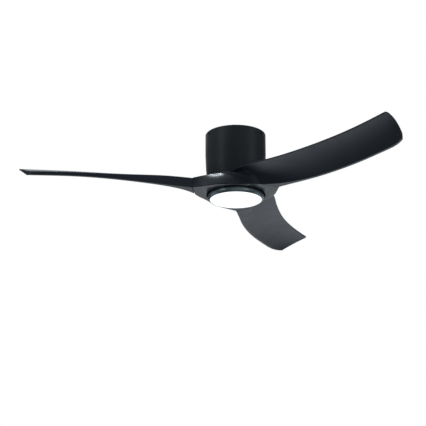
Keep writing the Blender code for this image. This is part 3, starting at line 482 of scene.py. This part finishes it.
def make_hub():
    """The hub's two pieces, from the same wall."""
    flank, seam, levels = 48, 10, 16
    rows = [lobe_row(i / levels, flank, seam) for i in range(levels + 1)]
    return make_hub_shell(rows, flank), make_hub_cover(rows[-1])


# ---------------------------------------------------------------- housing, ceiling plate and lamp
def facing_out(angle, radius):
    """A place on the housing's side at its screws' height, with +Z away from the axis."""
    return (Matrix.Rotation(angle, 4, "Z") @ Matrix.Translation((radius, 0, HOUSING_SCREW_Z))
            @ Matrix.Rotation(math.pi / 2, 4, "Y"))


def screw_drill():
    """Cutters that point at the axis, in the places of the housing's screws."""
    bm = bmesh.new()
    for angle in HOUSING_SCREW_ANGLES:
        bmesh.ops.create_cone(bm, cap_ends=True, segments=24, radius1=HOUSING_HOLE_R, radius2=HOUSING_HOLE_R,
                              depth=0.014, matrix=facing_out(angle, HOUSING_R))
    return add_object("drill", bm)


def make_housing():
    """The round cover, drawn in towards its foot, where a lip turns in under the wall."""
    steps, lip, wall = 20, HOUSING_LIP_R, HOUSING_WALL
    skirt_at = spline(HOUSING_SKIRT)
    skirt = [tuple(skirt_at(i / steps)) for i in range(steps + 1)]
    outline = [(HOUSING_R, HOUSING_TOP)] + skirt + [(lip, HOUSING_BOTTOM), (lip, HOUSING_BOTTOM + wall)]
    outline += [(r - wall, z) for r, z in skirt[-3::-1]] + [(HOUSING_R - wall, HOUSING_TOP)]
    last = len(outline) - 1
    body = turned("housing_fine", outline, {0: 0.0008, steps + 1: 0.0012, last: 0.0004})
    return settle(body, screw_drill())


def slot_outline(middle):
    """A slot with round ends, for one of the ceiling box's screws."""
    radius = SLOT_WIDTH / 2
    half = SLOT_LENGTH / 2 - radius
    ends = [math.radians(-90 + 180 * i / 10) for i in range(11)]
    right = [(middle + half + radius * math.cos(a), radius * math.sin(a)) for a in ends]
    return right + [(middle - half - radius * math.cos(a), -radius * math.sin(a)) for a in ends]


def make_ceiling_plate():
    """The pressed steel pan that screws to the ceiling box."""
    inner = PLATE_R - RIM_T
    outline = [(0, 0), (PLATE_R, 0), (PLATE_R, PLATE_BOTTOM), (inner, PLATE_BOTTOM), (inner, -PLATE_T),
               (0, -PLATE_T)]
    plate = turned("ceiling_plate_fine", outline, {1: 0.0012, 2: 0.0005, 3: 0.0005, 4: 0.0006})
    cuts = [slot_outline(side * SLOT_SPACING / 2) for side in (-1, 1)]
    cuts.append(circle(WIRE_HOLE_R, 0, WIRE_HOLE_Y, 40))
    cuts += [circle(BOLT_HOLE_R, sx * BOLT_X, sy * BOLT_Y) for sx in (-1, 1) for sy in (-1, 1)]
    settle(plate, prism("cuts", cuts, CUT_PAST, -PLATE_T - CUT_PAST))
    return settle(plate, screw_drill())


def make_bezel():
    """The lamp's ring: a curved flank, a seat for the lens's flange and a collar that plugs in above."""
    collar_out, collar_in, shoulder = 0.0838, 0.0820, BEZEL_TOP - 0.0030
    lens_r, seat_r, seat_z, seat_top = 0.0797, 0.0828, -0.2008, -0.1960
    outline = [(collar_out, shoulder), (BEZEL_R, shoulder), *BEZEL_FLANK, (lens_r, LENS_Z), (lens_r, seat_z),
               (seat_r, seat_z), (seat_r, seat_top), (collar_in, seat_top + 0.0005), (collar_in, BEZEL_TOP),
               (collar_out, BEZEL_TOP)]
    rounds = {1: 0.0008, 2: 0.0015, 3: 0.0018, 4: 0.0018, 5: 0.0010, 6: 0.0003}
    return turned("lamp_bezel_fine", outline, rounds)


def make_diffuser():
    """The opal lens: a shallow dome that fills the bezel, with its flange and side wall."""
    face, dome, steps = LENS_Z - 0.0005, 0.0009, 16
    inner, flange_top = LENS_R - LENS_T, LENS_FLANGE_Z + LENS_T
    outline = []
    for i in range(steps + 1):
        r = LENS_FLAT_R * i / steps
        outline.append((r, face + dome * (r / LENS_FLAT_R) ** 2))
    outline += [(LENS_R, LENS_Z + 0.0016), (LENS_R, LENS_FLANGE_Z), (LENS_FLANGE_R, LENS_FLANGE_Z),
                (LENS_FLANGE_R, flange_top), (inner, flange_top), (inner, LENS_Z + 0.0030),
                (0.060, LENS_Z + 0.0018), (0, LENS_Z + 0.0015)]
    return turned("diffuser_fine", outline, {steps: 0.0009, steps + 1: 0.0006})


def make_screw(name, head_r, head_h, shank_r, length):
    """A pan-head screw with a grooved shank and a cross recess. The head stands above z = 0."""
    outline = [(0, head_h), (0.45 * head_r, head_h), (0.80 * head_r, 0.86 * head_h), (head_r, 0.42 * head_h),
               (head_r, 0), (shank_r, 0)]
    pitch, first, groove_r = 0.0009, -0.0004, 0.84 * shank_r
    for i in range(int((length - 0.001) / pitch)):
        outline += [(shank_r, first - i * pitch), (groove_r, first - (i + 0.5) * pitch)]
    outline += [(groove_r, -length + 0.0005), (0.6 * shank_r, -length), (0, -length)]
    made = turned(name, outline, segments=24, crease=40)
    arm, wide = 0.55 * head_r, 0.14 * head_r
    plus = [(arm, -wide), (arm, wide), (wide, wide), (wide, arm), (-wide, arm), (-wide, wide),
            (-arm, wide), (-arm, -wide), (-wide, -wide), (-wide, -arm), (wide, -arm), (wide, -wide)]
    return settle(made, prism("plus", [plus], head_h + 0.001, 0.35 * head_h))


# ---------------------------------------------------------------- materials
class Shade:
    """One procedural material: a Principled shader and short ways to feed its sockets."""

    def __init__(self, name, colour, roughness, metallic=0.0, **constants):
        self.material = bpy.data.materials.new(name)
        self.material.use_nodes = True
        self.material.diffuse_color = (*colour, 1)
        self.nodes, self.links = self.material.node_tree.nodes, self.material.node_tree.links
        self.shader = self.nodes["Principled BSDF"]
        self.shader.inputs["Metallic"].default_value = metallic
        self.shader.inputs["Roughness"].default_value = roughness
        self.shader.inputs["Base Color"].default_value = (*colour, 1)
        for key, value in constants.items():
            self.shader.inputs[key.replace("_", " ").title()].default_value = value
        self.place = self.nodes.new("ShaderNodeTexCoord").outputs["Object"]

    def stretched(self, scale):
        """Object coordinates scaled apart for each axis, for a pattern that runs one way."""
        mapping = self.nodes.new("ShaderNodeMapping")
        mapping.inputs["Scale"].default_value = scale
        self.links.new(self.place, mapping.inputs["Vector"])
        return mapping.outputs["Vector"]

    def noise(self, scale, detail=3.0, vector=None):
        node = self.nodes.new("ShaderNodeTexNoise")
        node.inputs["Scale"].default_value = scale
        node.inputs["Detail"].default_value = detail
        self.links.new(vector or self.place, node.inputs["Vector"])
        return node.outputs["Fac"]

    def cells(self, scale, feature="F1"):
        node = self.nodes.new("ShaderNodeTexVoronoi")
        node.feature = feature
        node.inputs["Scale"].default_value = scale
        self.links.new(self.place, node.inputs["Vector"])
        return node.outputs["Distance"]

    def level_bands(self, scale, distortion=0.0):
        node = self.nodes.new("ShaderNodeTexWave")
        node.wave_type = "BANDS"
        node.bands_direction = "Z"
        node.inputs["Scale"].default_value = scale
        node.inputs["Distortion"].default_value = distortion
        self.links.new(self.place, node.inputs["Vector"])
        return node.outputs["Fac"]

    def ranged(self, value, low, high, start=0.0, end=1.0):
        """Map a value between start and end to one between low and high."""
        node = self.nodes.new("ShaderNodeMapRange")
        node.inputs["From Min"].default_value = start
        node.inputs["From Max"].default_value = end
        node.inputs["To Min"].default_value = low
        node.inputs["To Max"].default_value = high
        self.links.new(value, node.inputs["Value"])
        return node.outputs["Result"]

    def colours(self, value, *stops):
        """A colour ramp: each stop is a position and its colour."""
        node = self.nodes.new("ShaderNodeValToRGB")
        ramp = node.color_ramp
        while len(ramp.elements) < len(stops):
            ramp.elements.new(0.5)
        for element, (position, colour) in zip(ramp.elements, stops):
            element.position = position
            element.color = (*colour, 1)
        self.links.new(value, node.inputs["Fac"])
        return node.outputs["Color"]

    def feed(self, socket, value):
        self.links.new(value, self.shader.inputs[socket])
        return self

    def bump(self, height, strength, depth, after=None):
        """Height from 0 to 1 stands for a depth in metres. A second bump takes the first one's normal."""
        node = self.nodes.new("ShaderNodeBump")
        node.inputs["Strength"].default_value = strength
        node.inputs["Distance"].default_value = depth
        self.links.new(height, node.inputs["Height"])
        if after:
            self.links.new(after, node.inputs["Normal"])
        return node.outputs["Normal"]


def tinted(colour, share):
    """The colour, this much lighter or darker."""
    return tuple(min(1, share * c) for c in colour)


def satin(name, colour, roughness, waviness=0.10, streak=(1, 1, 1), metallic=0.0):
    """A satin moulding, bare or metallised: a fine eroded grain, faint flow marks and handling haze."""
    shade = Shade(name, colour, roughness, metallic)
    flow = shade.noise(5.0, 4.0, shade.stretched(streak))
    shade.feed("Base Color", shade.colours(flow, (0.30, tinted(colour, 0.90)), (0.70, tinted(colour, 1.12))))
    haze, change = shade.noise(26.0, 5.0), 0.035
    shade.feed("Roughness", shade.ranged(haze, roughness - change, roughness + change, 0.3, 0.7))
    grain = shade.bump(shade.noise(1500, 2.0), strength=3 * waviness, depth=0.00004)
    waves = shade.bump(shade.noise(9.0, 2.0), strength=waviness, depth=0.00030, after=grain)
    return shade.feed("Normal", waves).material


def plated_steel(name, colour=(0.56, 0.57, 0.58), roughness=0.34):
    """Zinc-plated sheet: soft crystal patches, rolling lines and a little tarnish."""
    shade = Shade(name, colour, roughness, 1.0)
    patches = shade.cells(160.0)
    shade.feed("Base Color", shade.colours(patches, (0.0, tinted(colour, 0.80)), (0.7, colour)))
    lines = shade.noise(60.0, 3.0, shade.stretched((1, 18, 18)))
    shade.feed("Roughness", shade.ranged(lines, roughness - 0.08, roughness + 0.12))
    return shade.feed("Normal", shade.bump(lines, strength=0.15, depth=0.00005)).material


def cast_metal(name):
    """Die-cast aluminium: an orange-peel skin with darker pits."""
    colour = (0.60, 0.61, 0.62)
    shade = Shade(name, colour, 0.48, 1.0)
    pits = shade.cells(420.0)
    shade.feed("Base Color", shade.colours(pits, (0.0, tinted(colour, 0.72)), (0.35, colour)))
    peel = shade.noise(300.0, 4.0)
    shade.feed("Roughness", shade.ranged(peel, 0.40, 0.58))
    return shade.feed("Normal", shade.bump(peel, strength=0.25, depth=0.00012)).material


def ground_steel(name):
    """Bearing steel: fine grinding marks that run round."""
    shade = Shade(name, (0.60, 0.60, 0.61), 0.18, 1.0)
    marks = shade.level_bands(420.0, 2.0)
    shade.feed("Roughness", shade.ranged(marks, 0.12, 0.26))
    tone = shade.noise(90.0)
    shade.feed("Base Color", shade.colours(tone, (0.3, (0.52, 0.52, 0.53)), (0.7, (0.64, 0.64, 0.65))))
    return shade.feed("Normal", shade.bump(marks, strength=0.10, depth=0.00001)).material


def bands_apart(pitch):
    """Scale of a band texture, whose phase runs 20 radians a unit, for bands this far apart."""
    return 6.3 / pitch / 20


def laminations(name):
    """The stator's stack: 0.5 mm sheets, seen as fine level lines, with blued cut edges."""
    shade = Shade(name, (0.22, 0.22, 0.24), 0.45, 1.0)
    sheets = shade.level_bands(bands_apart(0.0005))
    tone = shade.colours(sheets, (0.0, (0.10, 0.10, 0.12)), (0.35, (0.24, 0.24, 0.26)))
    shade.feed("Base Color", tone)
    shade.feed("Roughness", shade.ranged(shade.noise(200.0), 0.35, 0.60))
    return shade.feed("Normal", shade.bump(sheets, strength=0.5, depth=0.00008)).material


def copper_wire(name):
    """Enamelled winding wire: close turns with varnish gloss between them, and painted shade that darkens the
    grooves between the turns.
    """
    shade = Shade(name, (0.58, 0.22, 0.07), 0.28, 1.0, coat_weight=0.6, coat_roughness=0.12)
    turns = shade.level_bands(bands_apart(0.0008), 1.2)
    # painted shade: the colour darkens towards each band's trough, where the grooves between turns fall
    tone = shade.colours(turns, (0.0, (0.20, 0.06, 0.02)), (0.5, (0.62, 0.25, 0.09)))
    shade.feed("Base Color", tone)
    shade.feed("Roughness", shade.ranged(shade.noise(150.0), 0.20, 0.38))
    return shade.feed("Normal", shade.bump(turns, strength=0.7, depth=0.00030)).material


def magnet_black(name):
    """Sintered magnets: a dull grain, with epoxy shine in patches."""
    shade = Shade(name, (0.09, 0.09, 0.10), 0.55, 0.2)
    grain = shade.noise(900.0, 5.0)
    shade.feed("Base Color", shade.colours(grain, (0.35, (0.06, 0.06, 0.065)), (0.65, (0.12, 0.12, 0.125))))
    shade.feed("Roughness", shade.ranged(shade.noise(40.0), 0.42, 0.66))
    return shade.feed("Normal", shade.bump(grain, strength=0.4, depth=0.00010)).material


def circuit_board(name, base, trace, scale=230.0):
    """Solder mask over copper, whose traces are the borders of cells."""
    shade = Shade(name, base, 0.35, 0.0, coat_weight=0.3)
    tracks = shade.cells(scale, "DISTANCE_TO_EDGE")
    shade.feed("Base Color", shade.colours(tracks, (0.02, trace), (0.06, base)))
    shade.feed("Roughness", shade.ranged(shade.noise(120.0), 0.28, 0.45))
    return shade.feed("Normal", shade.bump(tracks, strength=0.4, depth=0.00003)).material


def moulded(name, colour, roughness):
    """Plain moulded plastic of the hidden parts: eroded grain and slight mottling."""
    shade = Shade(name, colour, roughness)
    mottle = shade.noise(35.0, 4.0)
    shade.feed("Base Color", shade.colours(mottle, (0.3, tinted(colour, 0.86)), (0.7, tinted(colour, 1.08))))
    shade.feed("Roughness", shade.ranged(mottle, roughness - 0.06, roughness + 0.08))
    return shade.feed("Normal", shade.bump(shade.noise(1400.0), strength=0.35, depth=0.00005)).material


def opal(name, glow):
    """Frosted acrylic, lit from behind: even light with a very slight mottle."""
    shade = Shade(name, (0.93, 0.93, 0.92), 0.32, 0.0, emission_strength=glow)
    soft = shade.noise(40.0, 3.0)
    shade.feed("Base Color", shade.colours(soft, (0.3, (0.90, 0.90, 0.89)), (0.7, (0.94, 0.94, 0.93))))
    shade.feed("Emission Color", shade.colours(soft, (0.3, (0.985, 0.99, 1.0)), (0.7, (1.0, 1.0, 0.99))))
    shade.feed("Roughness", shade.ranged(soft, 0.28, 0.36))
    return shade.feed("Normal", shade.bump(shade.noise(2200.0), strength=0.2, depth=0.00003)).material


# ---------------------------------------------------------------- the fan's pieces
def dress(piece, material):
    """Give a piece this material alone."""
    piece.data.materials.clear()
    piece.data.materials.append(material)


def stand_for(piece, node, material):
    """A fine piece takes a CAD node's place, on that node's body."""
    dress(piece, material)
    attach(piece, frame["nodes"][node]["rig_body"])
    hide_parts(node)


def make_screws(prefix, count, head_h, shank_r, facing, material):
    """Fine screws in the places of the CAD ones. facing is up, down or out, the side their heads are on."""
    for i in range(1, count + 1):
        node = f"{prefix}_{i}"
        low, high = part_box(node)
        middle = (low + high) / 2
        if facing == "out":
            head_r, length = 0.0036, 0.0062
            place = facing_out(HOUSING_SCREW_ANGLES[i - 1], HOUSING_R + GAP)
        else:
            head_r, length = (high.x - low.x) / 2, high.z - low.z - head_h
            seat = high.z - head_h if facing == "up" else low.z + head_h
            place = Matrix.Translation((middle.x, middle.y, seat))
            if facing == "down":
                place = place @ Matrix.Rotation(math.pi, 4, "X")
        piece = make_screw(f"{node}_fine", head_r, head_h, shank_r, length)
        piece.data.transform(place)
        stand_for(piece, node, material)


def make_shells(zinc):
    """The pieces that show, and the plate on the ceiling, modelled afresh with fine surfaces."""
    hub_black = satin("hub_satin_black", (0.0110, 0.0190, 0.0280), 0.26, 0.03)
    blade_black = satin("blade_satin_black", (0.0110, 0.0180, 0.0310), 0.36, 0.05, (0.6, 0.6, 3))
    housing_black = satin("housing_satin_black", (0.0120, 0.0180, 0.0220), 0.40)
    bezel_black = satin("bezel_satin_black", (0.250, 0.310, 0.325), 0.30, metallic=1.0)
    shell, cover = make_hub()
    stand_for(shell, "hub_shell", hub_black)
    stand_for(cover, "hub_bottom_cover", hub_black)
    for i, angle in enumerate(BLADE_ANGLES, 1):
        stand_for(make_blade(f"blade_{i}_fine", angle), f"blade_{i}", blade_black)
    stand_for(make_housing(), "housing", housing_black)
    stand_for(make_ceiling_plate(), "ceiling_plate", zinc)
    stand_for(make_bezel(), "lamp_bezel", bezel_black)
    stand_for(make_diffuser(), "diffuser", opal("lit_opal", 1.0))


def make_all_screws(zinc):
    """Every set of screws: its count, head height, shank radius and the side its heads are on."""
    blackened = plated_steel("blackened_screw", (0.045, 0.046, 0.048), 0.42)
    make_screws("housing_screw", 3, 0.0018, 0.0018, "out", blackened)
    make_screws("bracket_bolt", 4, 0.0032, 0.0025, "down", zinc)
    make_screws("rotor_screw", 3, 0.0020, 0.0013, "up", zinc)
    make_screws("carrier_screw", 3, 0.0028, 0.0020, "down", zinc)
    make_screws("blade_screw", 6, 0.0028, 0.0020, "down", zinc)
    make_screws("lamp_screw", 3, 0.0024, 0.0020, "down", zinc)


def dress_the_rest(zinc):
    """Materials for the inner pieces that keep their CAD shape."""
    alloy = cast_metal("die_cast_alloy")
    mask_green, copper_green = (0.020, 0.120, 0.045), (0.045, 0.220, 0.080)
    mask_white, copper_white = (0.86, 0.86, 0.84), (0.70, 0.70, 0.66)
    races = [f"{place}_bearing_{part}" for place in ("upper", "lower")
             for part in ("inner_race", "balls", "outer_race")]
    looks = (
        (zinc, ("motor_bracket", "motor_shaft", "shaft_nut_upper", "shaft_nut_lower", "lamp_mount_plate",
                "lamp_nut")),
        (alloy, ("stator_carrier", "rotor_cover_top", "rotor_cover_bottom", "blade_carrier", "lamp_pan")),
        (ground_steel("bearing_ground"), races),
        (laminations("stator_laminations"), ("stator_core",)),
        (copper_wire("winding_copper_painted_groove_shade"), ("stator_winding",)),
        (magnet_black("magnet_ferrite"), ("magnet_ring",)),
        (moulded("controller_grey_black", (0.060, 0.061, 0.063), 0.55), ("controller_box", "controller_lid")),
        (circuit_board("board_green_mask", mask_green, copper_green), ("controller_board",)),
        (moulded("terminal_cream_plastic", (0.80, 0.78, 0.70), 0.48), ("terminal_block",)),
        (circuit_board("led_board_mask", mask_white, copper_white, 90.0), ("led_board",)),
        (moulded("lead_insulation", (0.75, 0.75, 0.73), 0.45), ("motor_lead", "lamp_lead")),
    )
    for material, nodes in looks:
        for node in nodes:
            dress(frame["nodes"][node], material)


# ---------------------------------------------------------------- studio
CAMERA_PLACE, CAMERA_LENS = (0.0, -3.6907, -1.4792), 107.73
CAMERA_PITCH, CAMERA_TURN = 18.385, 1.086
FLOOR_Z, FLOOR_HALF, FLOOR_GLOW = -5.5, 40.0, 0.55
WORLD_LOBES = (                      # direction, cosine where it starts, cosine where it is full, strength
    ((0, 0, 1), -1.1, -1.0, 0.10),
    ((0.20, 0.90, -0.35), 0.80, 0.93, 0.41),
    ((0.05, 0.70, -0.71), 0.885, 0.985, 0.60),
    ((0.30, 0.92, -0.22), 0.95, 0.995, 0.14),
    ((-1, -0.1, 0.25), 0.55, 1.0, 0.14),
    ((0.8, -0.55, 0.3), 0.50, 0.95, 0.14),
    ((0, -0.94, 0.34), 0.30, 0.90, 0.05),
    ((0.25, -0.80, -0.55), 0.75, 0.98, 0.18),
    ((-0.10, 0.65, 0.75), 0.75, 0.97, 0.60),
    ((0, 0, 1), 0.2, 0.9, 0.08),
    ((-0.42, -0.36, 0.84), 0.82, 0.98, 0.40),
    ((-0.85, 0.35, -0.5), 0.93, 0.99, 0.35),
    ((0.85, 0.35, -0.5), 0.93, 0.99, 0.45),
    ((0, -0.15, -1), 0.95, 0.995, 0.35),
    ((0, 0.9, 0.45), 0.80, 0.98, 0.35),
)
SOFT_BOXES = (                       # name, place, what it faces, width, height, radiance
    ("left_box", (-2.2, -1.5, 0.75), (0, 0, -0.1), 0.5, 2.2, 0.9),
    ("right_box", (2.4, -1.15, 0.75), (0, 0, -0.1), 0.5, 2.2, 0.9),
    ("low_left_box", (-1.9, -1.5, -0.85), (0, 0, -0.2), 0.5, 0.5, 2.0),
    ("low_right_box", (1.6, -1.75, -0.9), (0, 0, -0.2), 0.5, 0.5, 1.9),
    ("overhead", (-0.39, -0.06, 1.4), (0, 0, -0.1), 0.22, 0.22, 36.0),
)
LIGHT_TINT = (0.86, 0.93, 1.0)


def soft_box(name, place, target, width, height, radiance):
    """A rectangular light that the camera doesn't see."""
    light = bpy.data.lights.new(name, "AREA")
    light.shape = "RECTANGLE"
    light.size = width
    light.size_y = height
    light.energy = radiance * math.pi * width * height
    light.color = LIGHT_TINT
    made = bpy.data.objects.new(name, light)
    bpy.context.scene.collection.objects.link(made)
    made.location = place
    made.rotation_euler = (Vector(target) - Vector(place)).to_track_quat("-Z", "Y").to_euler()
    made.visible_camera = False


def make_world():
    """White behind the fan. Its own light comes from soft patches all round it."""
    world = bpy.data.worlds.new("studio")
    bpy.context.scene.world = world
    world.use_nodes = True
    nodes, links = world.node_tree.nodes, world.node_tree.links
    nodes.clear()
    where = nodes.new("ShaderNodeTexCoord").outputs["Generated"]

    def lobe(direction, start, end, strength):
        """Light from round a direction: none at the cosine start, full at the cosine end."""
        dot = nodes.new("ShaderNodeVectorMath")
        dot.operation = "DOT_PRODUCT"
        links.new(where, dot.inputs[0])
        dot.inputs[1].default_value = Vector(direction).normalized()
        fade = nodes.new("ShaderNodeMapRange")
        fade.interpolation_type = "SMOOTHSTEP"
        fade.inputs["From Min"].default_value = start
        fade.inputs["From Max"].default_value = end
        fade.inputs["To Max"].default_value = strength
        links.new(dot.outputs["Value"], fade.inputs["Value"])
        return fade.outputs["Result"]

    total = None
    for settings in WORLD_LOBES:
        value = lobe(*settings)
        if total is not None:
            add = nodes.new("ShaderNodeMath")
            links.new(total, add.inputs[0])
            links.new(value, add.inputs[1])
            value = add.outputs[0]
        total = value
    light = nodes.new("ShaderNodeBackground")
    light.inputs["Color"].default_value = (*LIGHT_TINT, 1)
    links.new(total, light.inputs["Strength"])
    white = nodes.new("ShaderNodeBackground")
    white.inputs["Color"].default_value = (1, 1, 1, 1)
    choose = nodes.new("ShaderNodeMixShader")
    links.new(nodes.new("ShaderNodeLightPath").outputs["Is Camera Ray"], choose.inputs[0])
    links.new(light.outputs[0], choose.inputs[1])
    links.new(white.outputs[0], choose.inputs[2])
    links.new(choose.outputs[0], nodes.new("ShaderNodeOutputWorld").inputs["Surface"])


def make_floor():
    """A plain pale floor, far enough below that views from underneath stay above it."""
    bm = bmesh.new()
    bmesh.ops.create_grid(bm, x_segments=24, y_segments=24, size=FLOOR_HALF)
    floor = add_object("floor", bm)
    floor.location.z = FLOOR_Z
    shade = Shade("pale_floor", (0.86, 0.86, 0.86), 0.6)
    shade.feed("Roughness", shade.ranged(shade.noise(2.0), 0.55, 0.70))
    tone = shade.colours(shade.noise(0.6, 4.0), (0.3, (0.85, 0.85, 0.85)), (0.7, (0.88, 0.88, 0.88)))
    dress(floor, shade.feed("Base Color", tone).material)
    shade.shader.inputs["Emission Color"].default_value = (1, 1, 1, 1)
    shade.shader.inputs["Emission Strength"].default_value = FLOOR_GLOW
    floor.visible_glossy = False
    floor.visible_diffuse = False


def make_camera():
    """Low in front of the fan, looking up at it."""
    camera = bpy.data.cameras.new("camera")
    camera.lens = CAMERA_LENS
    camera.sensor_width = 36.0
    camera.clip_start = 0.05
    camera.clip_end = 400.0
    made = bpy.data.objects.new("camera", camera)
    bpy.context.scene.collection.objects.link(made)
    made.location = CAMERA_PLACE
    made.rotation_euler = (math.radians(90 + CAMERA_PITCH), 0, math.radians(CAMERA_TURN))
    bpy.context.scene.camera = made


def make_studio():
    """World, floor, camera and lights."""
    make_world()
    make_floor()
    make_camera()
    for settings in SOFT_BOXES:
        soft_box(*settings)
    bpy.context.scene.view_settings.view_transform = "Standard"


zinc_plate = plated_steel("zinc_plate")
make_shells(zinc_plate)
make_all_screws(zinc_plate)
dress_the_rest(zinc_plate)
make_studio()
